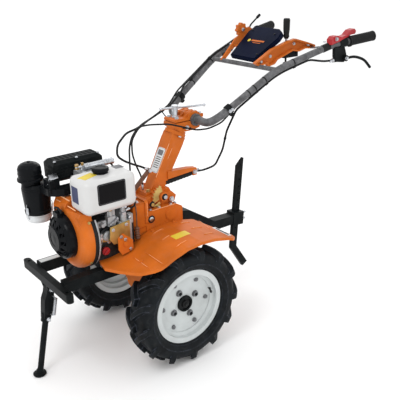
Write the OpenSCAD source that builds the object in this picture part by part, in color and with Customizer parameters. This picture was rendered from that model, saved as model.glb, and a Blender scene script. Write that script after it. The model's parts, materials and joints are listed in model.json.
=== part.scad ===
// Two-wheel walk-behind tiller with an air-cooled diesel engine.
// X points forward, Y to the machine's left, Z up. Millimetres.
// Places along X are from the wheel axle, and heights from a datum plane axle_h below the axle,
// which is the ground with the standard tyre.

/* [Wheels] */
// Outer radius of the tyre over its lugs
tyre_r = 230; // [225:1:236]
// Width of the tyre's tread
tyre_w = 112; // [96:2:114]
// From the machine's middle to the middle of a wheel
track_half = 239; // [232:1:250]
// Radius of the rim's outer flange
flange_r = 143.5; // [138:0.5:146]
// Width of the rim between its flanges
rim_w = 76; // [70:2:80]
// Radius of the circle of wheel bolts
wheel_bolt_circle_r = 54; // [50:1:58]
// Radius of a wheel bolt hole
wheel_bolt_r = 6.5; // [5:0.5:7]

/* [Transmission] */
// Width of the gearbox casting
case_w = 170; // [160:2:176]
// Height of the gearbox's rear deck
case_top = 553; // [545:1:560]
// Radius of the clutch bell, round the crankshaft
bell_r = 82; // [78:1:84]
// Radius of the casting round the wheel axle
axle_case_r = 62; // [56:1:66]
// Diameter of the wheel shaft
shaft_d = 34; // [30:1:38]

/* [Engine] */
// Height of the crankshaft
crank_z = 516; // [510:1:522]
// Place of the engine's rear face
engine_rear = 100; // [98:1:104]
// Place of the starter cover's front face
starter_front = 374; // [366:1:378]
// Radius of the starter cover
starter_r = 79; // [74:1:84]
// Radius of the fan cowl round the crankshaft
cowl_r = 126; // [118:1:130]
// Length of the fuel tank
tank_l = 204; // [180:2:212]
// Width of the fuel tank
tank_w = 128; // [110:2:132]
// Height of the fuel tank
tank_h = 120; // [104:2:124]
// Radius of the air cleaner's canister
cleaner_r = 52; // [46:1:54]

/* [Frame and stand] */
// Place of the front bar
bar_x = 413; // [405:1:425]
// Half length of the front bar
bar_half = 180; // [170:1:190]
// Height of the front bar's middle
bar_z = 372; // [366:1:380]
// How far the stand's foot stands ahead of its pin
stand_reach = 74; // [60:1:90]

/* [Rear hitch] */
// Width of the depth bar
depth_bar_w = 30; // [26:1:34]
// Thickness of the depth bar
depth_bar_t = 16; // [12:1:20]
// Distance between the depth bar's holes
depth_pitch = 31; // [28:1:34]

/* [Handlebar] */
// Radius of the pivot tube in the clamp
pivot_r = 23; // [20:0.5:25]
// Outer diameter of the handlebar's base tube
base_tube_d = 30; // [28:1:32]
// Outer diameter of the two arms
arm_d = 26; // [24:1:28]
// Outer diameter of a grip
grip_d = 36; // [33:1:38]
// Length of a grip
grip_l = 118; // [100:2:125]
// Half the distance between the grips' ends
grip_half = 287; // [270:1:295]
// Height of the grips' ends
grip_z = 1110; // [1080:2:1140]
// Place of the grips' ends behind the axle
grip_x = -930; // [-960:2:-900]

/* [Hidden] */
$fn = 64;
hull_fn = 32;
axle_h = 230;
ground = axle_h - tyre_r;
skin_gap = 0.3;
fit_gap = 0.3;
// The stand's foot is the foremost piece and the grips' ends the rearmost.
stand_y = -8;
stand_pin = [408, stand_y, 338];
foot_r = 24;
foot_x = stand_pin[0] + stand_reach;
grip_reach = 5;
axle_x = -(foot_x + foot_r + grip_x - grip_reach) / 2;

orange = "#C8682C";
black = "#1E1F21";
tube_grey = "#55585B";

// Moves what is measured from the axle into the model's frame.
module from_axle() { translate([axle_x, 0, -ground]) children(); }
// Repeats a right-hand piece from its left-hand form.
module on_side(side) { scale([1, side, 1]) children(); }

// ---- paths and tubes ----
function unit(v) = v / norm(v);
// Points of a path whose corners are rounded off at distance cut, in n steps.
function rounded(p, cut, n) = [
  for (i = [0 : len(p) - 1])
    if (i == 0 || i == len(p) - 1) p[i]
    else let (a = p[i] + unit(p[i - 1] - p[i]) * cut, b = p[i] + unit(p[i + 1] - p[i]) * cut)
      for (k = [0 : n]) let (t = k / n)
        (1 - t) * (1 - t) * a + 2 * t * (1 - t) * p[i] + t * t * b];
// Direction of the path at each point.
function tangents(p) = [for (i = [0 : len(p) - 1])
  unit(p[min(i + 1, len(p) - 1)] - p[max(i - 1, 0)])];
// A side vector carried along the path, so that the tube doesn't twist.
function carried(t, i, v) = let (w = unit(v - (v * t[i]) * t[i]))
  i == len(t) - 1 ? [w] : concat([w], carried(t, i + 1, w));
// A tube of diameter d along path p, with s sides.
module swept(p, d, s, start = [0, 0, 1]) {
  t = tangents(p);
  side = carried(t, 0, abs(t[0] * start) > 0.9 ? [0, 1, 0] : start);
  n = len(p);
  ring = [for (i = [0 : n - 1]) for (k = [0 : s - 1])
    p[i] + d / 2 * (cos(360 * k / s) * side[i] + sin(360 * k / s) * cross(t[i], side[i]))];
  walls = [for (i = [0 : n - 2]) for (k = [0 : s - 1]) let (m = (k + 1) % s)
    each [[i * s + k, i * s + m, (i + 1) * s + m], [i * s + k, (i + 1) * s + m, (i + 1) * s + k]]];
  ends = [[for (k = [s - 1 : -1 : 0]) k], [for (k = [0 : s - 1]) (n - 1) * s + k]];
  polyhedron(points = ring, faces = [for (f = concat(walls, ends)) [for (j = [len(f) - 1 : -1 : 0]) f[j]]]);
}
tube_sides = 16;
// A round bar from point a to point b.
module rod(a, b, d) {
  v = b - a;
  translate(a) rotate([0, acos(v[2] / norm(v)), atan2(v[1], v[0])]) cylinder(d = d, h = norm(v));
}
// A flat bar from point a to point b, w wide and t thick.
module strap(a, b, w, t) {
  v = b - a;
  translate(a) rotate([0, acos(v[2] / norm(v)), atan2(v[1], v[0])])
    translate([-w / 2, -t / 2, 0]) cube([w, t, norm(v)]);
}
// A cylinder along +X or +Y from a point.
module disc_x(at, r, h) { translate(at) rotate([0, 90, 0]) cylinder(r = r, h = h); }
module disc_y(at, r, h) { translate(at) rotate([-90, 0, 0]) cylinder(r = r, h = h); }
// A plate whose outline lies in XZ, from y to y + w.
module plate_xz(y, w) { translate([0, y + w, 0]) rotate([90, 0, 0]) linear_extrude(w) children(); }
// A plate whose outline lies in YZ, from x to x + l.
module plate_yz(x, l) { translate([x, 0, 0]) rotate([90, 0, 90]) linear_extrude(l) children(); }
// A rectangle with round corners, from a low corner.
module soft_rect(at, size, r) {
  translate(at + [r, r]) offset(r, $fn = hull_fn) square(size - 2 * [r, r]);
}

// ---- wheels ----
seat_r = 127;
rim_t = 3;
disc_t = 5;
well_r = 112;
disc_w = -2;
hub_bore_r = 31;
module wheel_axis(side) {
  from_axle() translate([0, side * track_half, axle_h]) rotate([-90 * side, 0, 0]) children();
}
// Half of the tyre's section, from bead to crown: radius, then distance from the mid plane.
tyre_half = [[seat_r + skin_gap, rim_w / 2 - rim_t - skin_gap],
  [flange_r + 2, rim_w / 2 - rim_t - skin_gap],
  [flange_r + 10, rim_w / 2 + 6], [flange_r + 26, tyre_w / 2 - 3], [tyre_r - 34, tyre_w / 2],
  [tyre_r - 12, tyre_w / 2 - 3], [tyre_r - 3, tyre_w / 2 - 18], [tyre_r, 16]];
module tyre(side) color(black) wheel_axis(side) rotate_extrude()
  polygon(concat(tyre_half, [for (i = [len(tyre_half) - 1 : -1 : 0]) [tyre_half[i][0], -tyre_half[i][1]]]));
module rim(side) color("#DADDE0") wheel_axis(side) difference() {
  // Flanges, bead seats and well, with the dished disc welded into the well.
  rotate_extrude() polygon([[flange_r, rim_w / 2], [seat_r - rim_t, rim_w / 2], [seat_r - rim_t, 20],
    [well_r, 14], [well_r, disc_w + 6 + disc_t], [90, disc_w + disc_t], [hub_bore_r, disc_w + disc_t],
    [hub_bore_r, disc_w], [92, disc_w], [well_r, disc_w + 6], [well_r, -14], [seat_r - rim_t, -20],
    [seat_r - rim_t, -rim_w / 2], [flange_r, -rim_w / 2], [flange_r, -rim_w / 2 + rim_t],
    [seat_r, -rim_w / 2 + rim_t], [seat_r, -20 + rim_t], [well_r + rim_t, -14 + rim_t / 2],
    [well_r + rim_t, 14 - rim_t / 2], [seat_r, 20 - rim_t], [seat_r, rim_w / 2 - rim_t],
    [flange_r, rim_w / 2 - rim_t]]);
  for (a = [25 : 90 : 295]) rotate(a) translate([wheel_bolt_circle_r, 0, disc_w - 1])
    cylinder(r = wheel_bolt_r, h = disc_t + 2);
}
hub_in = 96;
module hub(side) color(black) wheel_axis(side) {
  difference() {
    union() {
      translate([0, 0, disc_w - 8]) cylinder(r = 68, h = 8);
      translate([0, 0, disc_w - 1]) cylinder(r = hub_bore_r - fit_gap, h = disc_t + 10);
      translate([0, 0, hub_in - track_half + 6]) cylinder(r = 27, h = track_half - hub_in - 8);
    }
    translate([0, 0, disc_w + 1]) cylinder(r = hub_bore_r - 7, h = disc_t + 10);
  }
  // Studs through the rim's bolt holes.
  for (a = [25 : 90 : 295]) rotate(a) translate([wheel_bolt_circle_r, 0, disc_w - 1])
    cylinder(r = wheel_bolt_r - fit_gap, h = disc_t + 12);
  translate([0, 0, 8 - track_half]) cylinder(d = shaft_d, h = track_half - 3);
}

// ---- transmission ----
case_front = 34;
case_rear = -118;
bell_top = 594;
module gear_case() color(orange) from_axle() difference() {
  union() {
    plate_xz(-case_w / 2, case_w) polygon([[case_rear, 340], [case_rear + 20, 318],
      [case_front - 10, 318], [case_front + 10, 345], [case_front + 10, case_top],
      [case_rear + 30, case_top], [case_rear, case_top - 18]]);
    // Clutch bell, flat-sided and taller where it meets the engine.
    disc_x([case_front, 0, crank_z - 24], bell_r, engine_rear - case_front - skin_gap);
    plate_yz(case_front, engine_rear - case_front - skin_gap)
      soft_rect([-case_w / 2, crank_z - 24], [case_w, bell_top - crank_z + 24], 10);
    // Joint flange between the gearbox and the bell, above the fenders.
    plate_yz(case_front + 4, 12) soft_rect([-case_w / 2 - 5, 506], [case_w + 10, bell_top - 500], 12);
    // Inspection plugs and bearing covers.
    for (side = [-1, 1]) on_side(side) {
      disc_y([26, case_w / 2 - 1, 523], 14, 6);
      disc_y([-66, case_w / 2 - 1, 520], 24, 4);
    }
    plate_yz(case_rear - 6, 10) soft_rect([-46, 424], [92, 86], 10);
    // Final drive, from the gearbox down to the wheel shaft.
    plate_xz(-52, 104) polygon([[-axle_case_r, axle_h], [axle_case_r, axle_h],
      [axle_case_r - 8, 330], [-axle_case_r - 20, 330]]);
    disc_y([0, -52, axle_h], axle_case_r, 104);
    disc_y([0, -hub_in, axle_h], 44, 2 * hub_in);
  }
  disc_y([0, -hub_in - 1, axle_h], shaft_d / 2 + fit_gap / 6, 2 * hub_in + 2);
}
module selector_housing() color(orange) from_axle() {
  plate_xz(-56, 112) polygon([[-104, case_top + skin_gap / 3],
    [case_front - skin_gap, case_top + skin_gap / 3],
    [case_front - skin_gap, case_top + 30], [10, column_seat - 10], [-92, column_seat - 10],
    [-112, case_top + 22]]);
  plate_xz(-40, 80) polygon([[case_front - 14, column_seat - 24], [10, column_seat], [-92, column_seat],
    [-104, column_seat - 24]]);
  // Toothed quadrant with its boss on the left side, and a round cover on the right.
  translate([-48, 55, case_top + 34]) rotate([-90, 0, 0]) linear_extrude(9)
    polygon(concat([[-12, 6], [-8, -10]], [for (i = [0 : 12]) let (a = 74 - 8 * i)
      (i % 2 == 0 ? 51 : 45) * [cos(a), -sin(a)]]));
  disc_y([-48, 54, case_top + 34], 17, 20);
  disc_y([8, 54, case_top + 18], 9, 18);
  disc_y([-84, 54, case_top + 16], 11, 12);
  disc_y([-40, -66, case_top + 28], 26, 12);
  // Oil filler plug and the seat under the column.
  translate([9, -18, column_seat - 12]) cylinder(r = 10, h = 22, $fn = 24);
  translate([-6, 28, column_seat - 12]) cylinder(r = 7, h = 16, $fn = 24);
}

// The shift lever stands on the bell and leans back to its cable.
shift_foot = [72, 20, bell_top + 10.2];
shift_top = [-19, 20, 685];
module shift_rod() color("#7A6A60") from_axle() {
  rod(shift_foot - [0, 13, 0], shift_foot + [0, 13, 0], 20);
  strap(shift_foot, shift_top, 13, 10);
  rod(shift_top - [0, 8, 0], shift_top + [0, 8, 0], 16);
  // Link from its foot down the bell's side into a rubber boot.
  swept(rounded([shift_foot + [0, 12, 0], [82, 54, bell_top + 18], [90, 84, bell_top + 10], [92, boot_y, 576],
    [93, boot_y, 506]], 14, 4), 5, 8);
  translate([93, boot_y, 466]) rotate_extrude() polygon(concat([[0, 0]],
    [for (k = [0 : 10]) [k % 2 == 0 ? 6.4 : boot_r, 1 + 4.6 * k]], [[0, 50]]));
}
boot_r = 9.7;
boot_y = case_w / 2 + skin_gap + boot_r;

// ---- fenders ----
// Side view of a fender's wave: place along X, height above its crest.
fender_wave = [[-213, -39], [-160, -19], [-100, -5], [-40, 0], [20, -4], [70, -19],
  [110, -39], [150, -55], [200, -64], [263, -65]];
// Clear height over the tyre at the crest.
tyre_gap = 29;
crest_z = ground + 2 * tyre_r + tyre_gap;
fender_in = case_w / 2 + skin_gap;
fender_out = track_half + 67;
sheet_t = 3;
lip_h = 11;
// Outline of a fender from above, r the rounding of its outer corners.
module fender_plan() {
  polygon([[-170, fender_in], [-210, fender_in + 150], [-212, fender_out - 40], [-204, fender_out - 16],
    [-184, fender_out], [60, fender_out], [130, fender_out - 8], [190, fender_out - 44],
    [236, fender_out - 110], [262, fender_in + 60], [250, fender_in]]);
}
// The wave as a band, top and bottom measured down from the crest line.
module fender_band(top, bottom) {
  plate_xz(fender_in - 1, fender_out - fender_in + 2)
    polygon([each [for (p = fender_wave) p + [0, crest_z - top]],
      each [for (i = [len(fender_wave) - 1 : -1 : 0]) fender_wave[i] + [0, crest_z - bottom]]]);
}
module fender(side) color(orange) from_axle() on_side(side) {
  intersection() {
    fender_band(0, sheet_t);
    translate([0, 0, crest_z - 120]) linear_extrude(140) fender_plan();
  }
  // Turned-down lip along the outer edge.
  intersection() {
    fender_band(sheet_t / 2, lip_h);
    translate([0, 0, crest_z - 120]) linear_extrude(140) difference() {
      fender_plan();
      offset(delta = -sheet_t) fender_plan();
      translate([-300, fender_in - 1]) square([600, sheet_t + 2]);
    }
  }
}

// ---- engine ----
module crankcase() color("#3A3C3E") from_axle() {
  plate_xz(-84, 168) polygon([[engine_rear, 412], [engine_rear + 12, 400], [engine_front - 8, 400],
    [engine_front, 412], [engine_front, 566], [engine_rear, 566]]);
  // Feet on the rails, side covers and the drain boss.
  translate([136, -104, 400]) cube([104, 208, 12]);
  disc_y([214, 83, 514], 31, 9);
  disc_y([183, -95, 503], 55, 12);
  disc_y([183, -100, 503], 26, 6);
  plate_yz(engine_front - 16, 16) soft_rect([-90, 420], [180, 140], 16);
}
module cylinder_block() color("#8C8F92") from_axle() {
  for (k = [0 : 6]) translate([124, -84, 571 + 9.4 * k]) cube([118, 88, 3.6]);
  translate([132, -76, 566.1]) cube([102, 72, 68]);
}
module rocker_cover() color("#B9BBBD") from_axle() {
  plate_yz(120, 126) soft_rect([-84, 634.4], [88, 64], 6);
  plate_yz(128, 110) soft_rect([-76, 690], [72, 31], 10);
}
// Breather tube on the rocker cover, with its brass valve in front.
module head_fittings() color("#C9CCCE") from_axle() {
  rod([94, -42, 732.6], [214, -42, 732.6], 22);
  rod([218, -42, 721.3], [218, -42, 742], 15);
  rod([212, -42, 736], [236, -42, 736], 10);
  rod([240, -42, 731], [240, -42, 748], 13);
}
module fan_cowl() color(orange) from_axle() difference() {
  union() {
    translate([cowl_rear, 0, crank_z]) rotate([0, 90, 0]) rotate_extrude()
      polygon([[0, 0], [cowl_r, 0], [cowl_r, 24], [cowl_r - 3, 35], [cowl_r - 10, 44], [cowl_r - 20, 49],
        [cowl_r - 30, 51], [0, 51]]);
    // Air duct to the cylinder, with a sloping front.
    intersection() {
      plate_yz(cowl_rear, 46) polygon([[-96, 560], [-96, 628], [-84, 641], [-4, 641], [8, 632],
        [96, 617.7], [100, 560]]);
      plate_xz(-130, 260) polygon([[cowl_rear, 540], [cowl_rear + 46, 540], [cowl_rear + 46, 606],
        [cowl_rear + 28, 642], [cowl_rear, 642]]);
    }
  }
  disc_x([starter_rear, 0, crank_z], starter_r + 2, 20);
  translate([cowl_rear - 1, tank_y - 6, tank_z - skin_gap]) cube([70, 200, 60]);
}
cowl_rear = 272;
starter_rear = 321;
module cowl_seal() color(black) from_axle() intersection() {
  disc_x([engine_front + skin_gap / 3, 0, crank_z], cowl_r + 3, cowl_rear - engine_front - 2 * skin_gap / 3);
  translate([260, -160, crank_z - 150]) cube([20, 320, 190]);
}
engine_front = 266;
module starter_cover() color(black) from_axle() difference() {
  union() {
    translate([starter_rear + skin_gap, 0, crank_z]) rotate([0, 90, 0]) rotate_extrude()
      polygon([[0, 0], [starter_r, 0], [starter_r, 24], [starter_r - 3, 30], [starter_r - 12, 38],
        [40, starter_l], [26, starter_l], [24, starter_l - 5], [0, starter_l - 5]]);
    // Rope outlet.
    translate([starter_rear + 6, -30, crank_z + starter_r - 14]) cube([26, 34, 26]);
  }
  // Air slots round the face.
  for (a = [0 : 30 : 330]) translate([0, 0, crank_z]) rotate([a, 0, 0])
    translate([starter_rear + 32, -7, 46]) cube([30, 14, 20]);
}
starter_l = starter_front - starter_rear - skin_gap;
tank_x = 104;
tank_y = 10;
tank_z = 618;
module fuel_tank() color("#E4E6E4") from_axle() {
  hull() {
    translate([tank_x, tank_y, tank_z + 14]) linear_extrude(tank_h - 40)
      soft_rect([0, 0], [tank_l, tank_w], 22);
    translate([tank_x + 10, tank_y + 10, tank_z]) linear_extrude(tank_h)
      soft_rect([0, 0], [tank_l - 20, tank_w - 20], 18);
  }
}
module fuel_cap() color(black) from_axle() {
  translate([tank_x + tank_l / 2, tank_y + tank_w / 2 - 10, tank_z + tank_h + skin_gap / 3]) {
    cylinder(r = 26, h = 8);
    cylinder(r = 30, h = 5);
    translate([0, 0, 8]) cylinder(r1 = 30, r2 = 26, h = 12);
  }
}
module muffler() color(black) from_axle() {
  intersection() {
    plate_xz(-178, 76) polygon([[104, 684], [112, 676], [294, 676], [302, 684], [302, 738], [290, 752],
      [116, 752], [104, 738]]);
    plate_yz(100, 206) polygon([[-178, 684], [-170, 676], [-110, 676], [-102, 684], [-102, 740],
      [-112, 752], [-168, 752], [-178, 740]]);
  }
  // Exhaust port to the head, and the outlet at the rear.
  translate([140, -103, 686]) cube([36, 18.8, 26]);
  rod([112, -140, 700], [76, -150, 690], 24);
}
// The cleaner stands clear of the cowl on its right side.
cleaner_at = [346, 6.2 - cowl_r * 0.97 - cleaner_r];
precleaner_at = cleaner_at + [14, -6];
module air_cleaner() color(black) from_axle() {
  translate([cleaner_at[0], cleaner_at[1], 0]) rotate_extrude() polygon([[0, 560], [cleaner_r - 5, 560],
    [cleaner_r - 3, 566], [cleaner_r - 3, 572], [cleaner_r - 5, 576], [cleaner_r, 650],
    [cleaner_r - 2, 664], [cleaner_r - 10, 672], [0, 672]]);
  // Rain cap with its dome and lip.
  translate([precleaner_at[0], precleaner_at[1], 0]) rotate_extrude()
    polygon([[0, 668], [34, 668], [34, 682], [46, 684], [47, 688], [46, 693], [42, 695], [42, 728],
      [38, 738], [30, 745], [18, 750], [0, 752]]);
}
module air_cleaner_bowl() color("#A9ACAD") from_axle() {
  translate([cleaner_at[0], cleaner_at[1], 0]) rotate_extrude()
    polygon([[0, 526], [cleaner_r - 20, 526], [cleaner_r - 10, 530], [cleaner_r - 6, 540],
      [cleaner_r - 6, 554], [cleaner_r - 4, 556], [cleaner_r - 4, 559.7], [0, 559.7]]);
}
// Elbow from the canister to the cylinder head, round the muffler's front end.
module intake_duct() color(black) from_axle() difference() {
  union() {
    translate([0, 0, 648]) linear_extrude(26) polygon([[246.3, -78], [246.3, -34], [300, -34], [326, -44],
      [346, -66], [352, -130], [304, -130], [304, -84], [290, -78]]);
    translate([304, -104, 660]) cube([38, 50, 44]);
  }
  translate([cleaner_at[0], cleaner_at[1], 600]) cylinder(r = cleaner_r + skin_gap / 3, h = 72.1);
  translate([precleaner_at[0], precleaner_at[1], 672]) cylinder(r = 48, h = 60);
}
module injection_pump() color("#4A4C4E") from_axle() {
  translate([126, 84.1, 478]) cube([50, 30, 82]);
  translate([151, 99, 556]) cylinder(r = 13, h = 26);
  translate([151, 99, 580]) cylinder(r = 9, h = 26);
  translate([184, 84.1, 552]) cube([30, 22, 34]);
  rod([199, 96, 585], [199, 96, 606], 16);
  translate([112, 84.1, 540]) cube([16, 18, 34]);
  translate([174, 84.1, 560]) cube([12, 16, 12]);
}
module speed_plate() color("#B9A25C") from_axle() {
  plate_xz(114.2, 4) polygon([[136, 560], [214, 553], [219, 508], [204, 486], [136, 486]]);
  plate_xz(92.3, 3) polygon([[214, 532], [250, 516], [246, 498], [214, 492]]);
  translate([206, 92.3, 500]) cube([10, 24, 6]);
}
module control_plate() color(orange) from_axle() {
  plate_xz(118.4, 4) polygon([[189, 504], [168, 519], [129, 484], [129, 450], [150, 442], [176, 438],
    [189, 460]]);
  disc_y([160, 121, 478], 9, 8);
}
module oil_cap() color("#C23A34") from_axle() {
  disc_y([227, 84.1, 461], 15, 24);
}

// ---- frame and stand ----
rail_y = 78;
rail_w = 34;
module engine_rails() color(black) from_axle() {
  for (side = [-1, 1]) on_side(side)
    translate([case_front + 10.1, rail_y, 360])
      cube([bar_x - bar_t / 2 - 0.1 - case_front - 10.1, rail_w, 39.9]);
  translate([130, -rail_y - 1, 386]) cube([100, 2 * rail_y + 2, 13.9]);
}
bar_t = 26;
bar_h = 30;
module front_bar() color(black) from_axle() difference() {
  union() {
    translate([bar_x - bar_t / 2, -bar_half + bar_t / 2, bar_z - bar_h / 2])
      cube([bar_t, 2 * bar_half - bar_t, bar_h]);
    for (side = [-1, 1]) translate([bar_x, side * (bar_half - bar_t / 2), bar_z - bar_h / 2])
      cylinder(d = bar_t, h = bar_h);
    // Ears for the stand's pin.
    for (side = [-1, 1]) hull() {
      disc_y([stand_pin[0], stand_y + side * 20 - 3, stand_pin[2]], 13, 6);
      translate([bar_x - bar_t / 2, stand_y + side * 20 - 3, bar_z - bar_h / 2]) cube([bar_t, 6, 10]);
    }
  }
  for (side = [-1, 1]) translate([bar_x, side * (bar_half - 30), bar_z - bar_h])
    cylinder(r = bar_hole_r, h = 2 * bar_h);
  disc_y([stand_pin[0], stand_y - 30, stand_pin[2]], stand_pin_r + 0.05, 60);
}
bar_hole_r = 6.5;
stand_pin_r = 5;
leg_l = norm([foot_x, stand_y, ground] - stand_pin);
// Places a shape so that Z runs down the leg from its pin and X points to the rear.
module on_leg() {
  translate(stand_pin) rotate([0, atan2(foot_x - stand_pin[0], ground - stand_pin[2]), 0]) children();
}
module stand_leg() color(black) from_axle() {
  disc_y([stand_pin[0], stand_y - 23, stand_pin[2]], stand_pin_r, 46);
  on_leg() {
    // Channel, open to the rear, with its eye and the clamp at its lower end.
    difference() {
      union() {
        disc_y([0, -16.7, 0], 14, 33.4);
        plate_xz(-16.7, 33.4) polygon([[-14, 0], [14, 0], [14, 22], [19, 44], [17, 70], [12, 116],
          [-12, 116], [-17, 70], [-19, 44], [-14, 22]]);
      }
      translate([-11, -13, 16]) cube([60, 26, 92]);
    }
    translate([0, 0, 100]) cylinder(r = 17, h = 30);
    translate([-8, -24, 106]) cube([16, 48, 18]);
    translate([0, 0, 40]) cylinder(r = 11, h = leg_l - 46);
  }
  // Dished foot.
  translate([foot_x, stand_y, ground]) rotate_extrude()
    polygon([[0, 0], [foot_r - 3, 0], [foot_r, 4], [foot_r, 7], [foot_r - 4, 8], [15, 9], [11, 22], [0, 22]]);
}
module stand_spring() color("#C9CCCE") from_axle() on_leg() {
  translate([17.3, 0, 30]) cylinder(r = 6, h = 68);
}

// ---- steering column ----
column_seat = case_top + 52;
column_foot = [-48, 0, column_seat - 6];
column_top = [-160, 0, 803];
column_dir = unit(column_top - column_foot);
column_tilt = atan2(-column_dir[0], column_dir[2]);
column_l = norm(column_top - column_foot);
module on_column() { translate(column_foot) rotate([0, -column_tilt, 0]) children(); }
module steering_column() color(orange) from_axle() difference() {
  on_column() {
    column_body();
    translate([0, 0, column_l - 12]) cylinder(r = 41, h = 12);
  }
  translate(column_foot + [-100, -60, 6.1 - 60]) cube([200, 120, 60]);
}
// The column's tapered box, slimmer at its foot.
module column_body() hull() {
  translate([-27, -24, -12]) cube([54, 48, 10]);
  translate([-31, -30, column_l - 30]) cube([62, 60, 19]);
}
clamp_at = [-226, 0, 844];
ring_r = pivot_r + 8;
split_gap = 3;
module swivel_head() color(orange) from_axle() {
  on_column() translate([0, 0, column_l + fit_gap]) {
    cylinder(r = 38, h = 9);
    cylinder(r = 33, h = 24);
  }
  difference() {
    union() {
      plate_xz(-38, 76) polygon([[-134, clamp_at[2] - split_gap / 2], [-132, 826], [-160, 806], [-214, 806],
        [-244, 812], [clamp_at[0] - ring_r, 832], [clamp_at[0] - ring_r, clamp_at[2] - split_gap / 2]]);
      plate_xz(-26, 52) polygon([[-250, 826], [-274, 830], [-274, clamp_at[2] - split_gap / 2],
        [-250, clamp_at[2] - split_gap / 2]]);
    }
    disc_y(clamp_at - [0, 60, 0], pivot_r + fit_gap, 120);
  }
}
module clamp_cap() color(orange) from_axle() difference() {
  union() {
    disc_y(clamp_at - [0, 36, 0], ring_r, 72);
    plate_xz(-36, 72) polygon([[-134, 846], [-134, 854], [-142, 857], [-196, 857], [-200, 872],
      [clamp_at[0], clamp_at[2] + ring_r], [clamp_at[0], 846]]);
    plate_xz(-26, 52) polygon([[-250, 846], [-274, 846], [-274, 858], [-254, 860]]);
    for (y = [-30, -3, 24]) plate_xz(y, 6) polygon([[-176, 856], [-194, 868], [-212, 876], [-240, 875],
      [-256, 858], [-230, 850]]);
  }
  disc_y(clamp_at - [0, 60, 0], pivot_r + fit_gap, 120);
  translate(clamp_at + [-100, -60, split_gap / 2 - 60]) cube([200, 120, 60]);
}
// T-handle that tightens the cap.
module clamp_lever() color("#B8BBBE") from_axle() {
  rod([-160, 0, 857.3], [-160, 0, 903], 24);
  rod([-98, 0, 898], [-300, 0, 882], 9);
}

// ---- handlebar ----
// Corners of the tube's centre line on the left side.
arm_joint = [-284, 148, 884];
arm_bend = [-499, 187, 1015];
arm_rise = unit(arm_bend - arm_joint);
bar_low = [clamp_at + [0, 116, 0], arm_joint - 30 * arm_rise, arm_joint];
pivot_half = 46;
bar_high = [arm_joint, arm_bend, [-737, 240, 1087], [grip_x, grip_half, grip_z]];
function mirrored(p) = [for (q = p) [q[0], -q[1], q[2]]];
function reversed(p) = [for (i = [len(p) - 1 : -1 : 0]) p[i]];
module handlebar_base() color(tube_grey) from_axle() {
  disc_y(clamp_at - [0, pivot_half, 0], pivot_r, 2 * pivot_half);
  swept(rounded(concat(reversed(mirrored(bar_low)), bar_low), 24, 6), base_tube_d, 20);
}
bracket_y = 84;
bracket_w = 16;
bracket_far = 128.3;
arm_end = bar_high[3];
arm_back = unit(bar_high[2] - arm_end);
// A point on the arm's centre line, s in front of its rear end.
function on_arm(s) = arm_end + s * arm_back;
grip_wall = 3;
// The left arm's centre line, from the collar to the tube's end inside the grip.
arm_path = rounded([arm_joint + 0.6 * arm_rise, arm_bend, bar_high[2], on_arm(grip_wall + skin_gap)], 50, 4);
arm_run = tangents(arm_path);
// The room that a clamp leaves round the left arm, from point i of its path to point k.
module arm_space(i, k, gap) {
  swept(concat([for (n = [i : k]) arm_path[n]], [arm_end - 20 * arm_back]),
    (arm_d + 2 * gap) / cos(180 / tube_sides), tube_sides);
}
module handlebar_arms() color(tube_grey) from_axle() {
  for (side = [-1, 1]) on_side(side) swept(arm_path, arm_d, tube_sides);
  rod(mirrored([arm_bend])[0], arm_bend, 18);
  // Straps that carry the panel's brackets.
  near_strap(0);
  strap([-585, -bracket_far - 4, 1074], [-592, -208, 1043], 5, 40);
}
module near_strap(gap) {
  strap([-786, bracket_y + bracket_w + 3, 1060], [-772, 250, 1086], 5 + 2 * gap, 26 + 2 * gap);
}
module arm_collars() color(black) from_axle() {
  for (side = [-1, 1]) on_side(side) difference() {
    union() {
      rod(arm_joint + 4 * arm_rise, arm_joint + 24 * arm_rise, max(arm_d, base_tube_d) + 8);
      strap(below(arm_joint, arm_bend, 0.028, 20, 0), below(arm_joint, arm_bend, 0.082, 20, 0), 14, 16);
    }
    rod(arm_joint + 3 * arm_rise, arm_joint + 30 * arm_rise, arm_d + 0.2);
  }
}
// The panel's plane: Y runs up its slope to the rear and Z out of its face.
module on_panel() { translate([-503, 0, 1025]) rotate([0, 32, 0]) rotate([0, 0, 90]) children(); }
module panel_outline() {
  translate([0, 0]) offset(12, $fn = hull_fn)
    polygon([[-72, 18], [58, 14], [bracket_y - 12.3, 136], [64, 164], [36, 180], [-92, 182], [-98, 156]]);
}
module control_panel() color("#1D2336") from_axle() on_panel() {
  linear_extrude(14) panel_outline();
  translate([0, 0, 13]) linear_extrude(5) offset(-5, $fn = hull_fn) panel_outline();
}
module panel_brackets() color(orange) from_axle() {
  difference() {
    plate_xz(bracket_y, bracket_w) near_bracket_outline();
    plate_xz(bracket_y + 5, bracket_w) offset(delta = -6) near_bracket_outline();
    rod([-499, 0, 1015], [-499, 187, 1015], 18.2);
  }
  difference() {
    union() {
      plate_xz(-bracket_far + 0.3, 8) polygon([[-488, 1018], [-508, 1018], [-560, 1062], [-590, 1066],
        [-636, 1100], [-660, 1128], [-640, 1138], [-596, 1112], [-566, 1098], [-548, 1078]]);
      rod([-560, -bracket_far + 4, 1069], [-560, -95.6, 1069], 10);
      // Star knob that locks the bracket.
      translate([-602, -bracket_far - 8, 1130]) rotate([-90, 0, 0]) linear_extrude(16)
        polygon([for (i = [0 : 31]) let (a = i * 11.25) (i % 4 < 2 ? 27 : 22) * [cos(a), sin(a)]]);
      disc_y([-602, -bracket_far - 13, 1130], 10, 26);
      strap([-602, -bracket_far + 4.3, 1130], [-602, -bracket_far + 4.3, 1100], 24, 8);
    }
    rod([-499, -187, 1015], [-499, 0, 1015], 18.2);
  }
}
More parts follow.
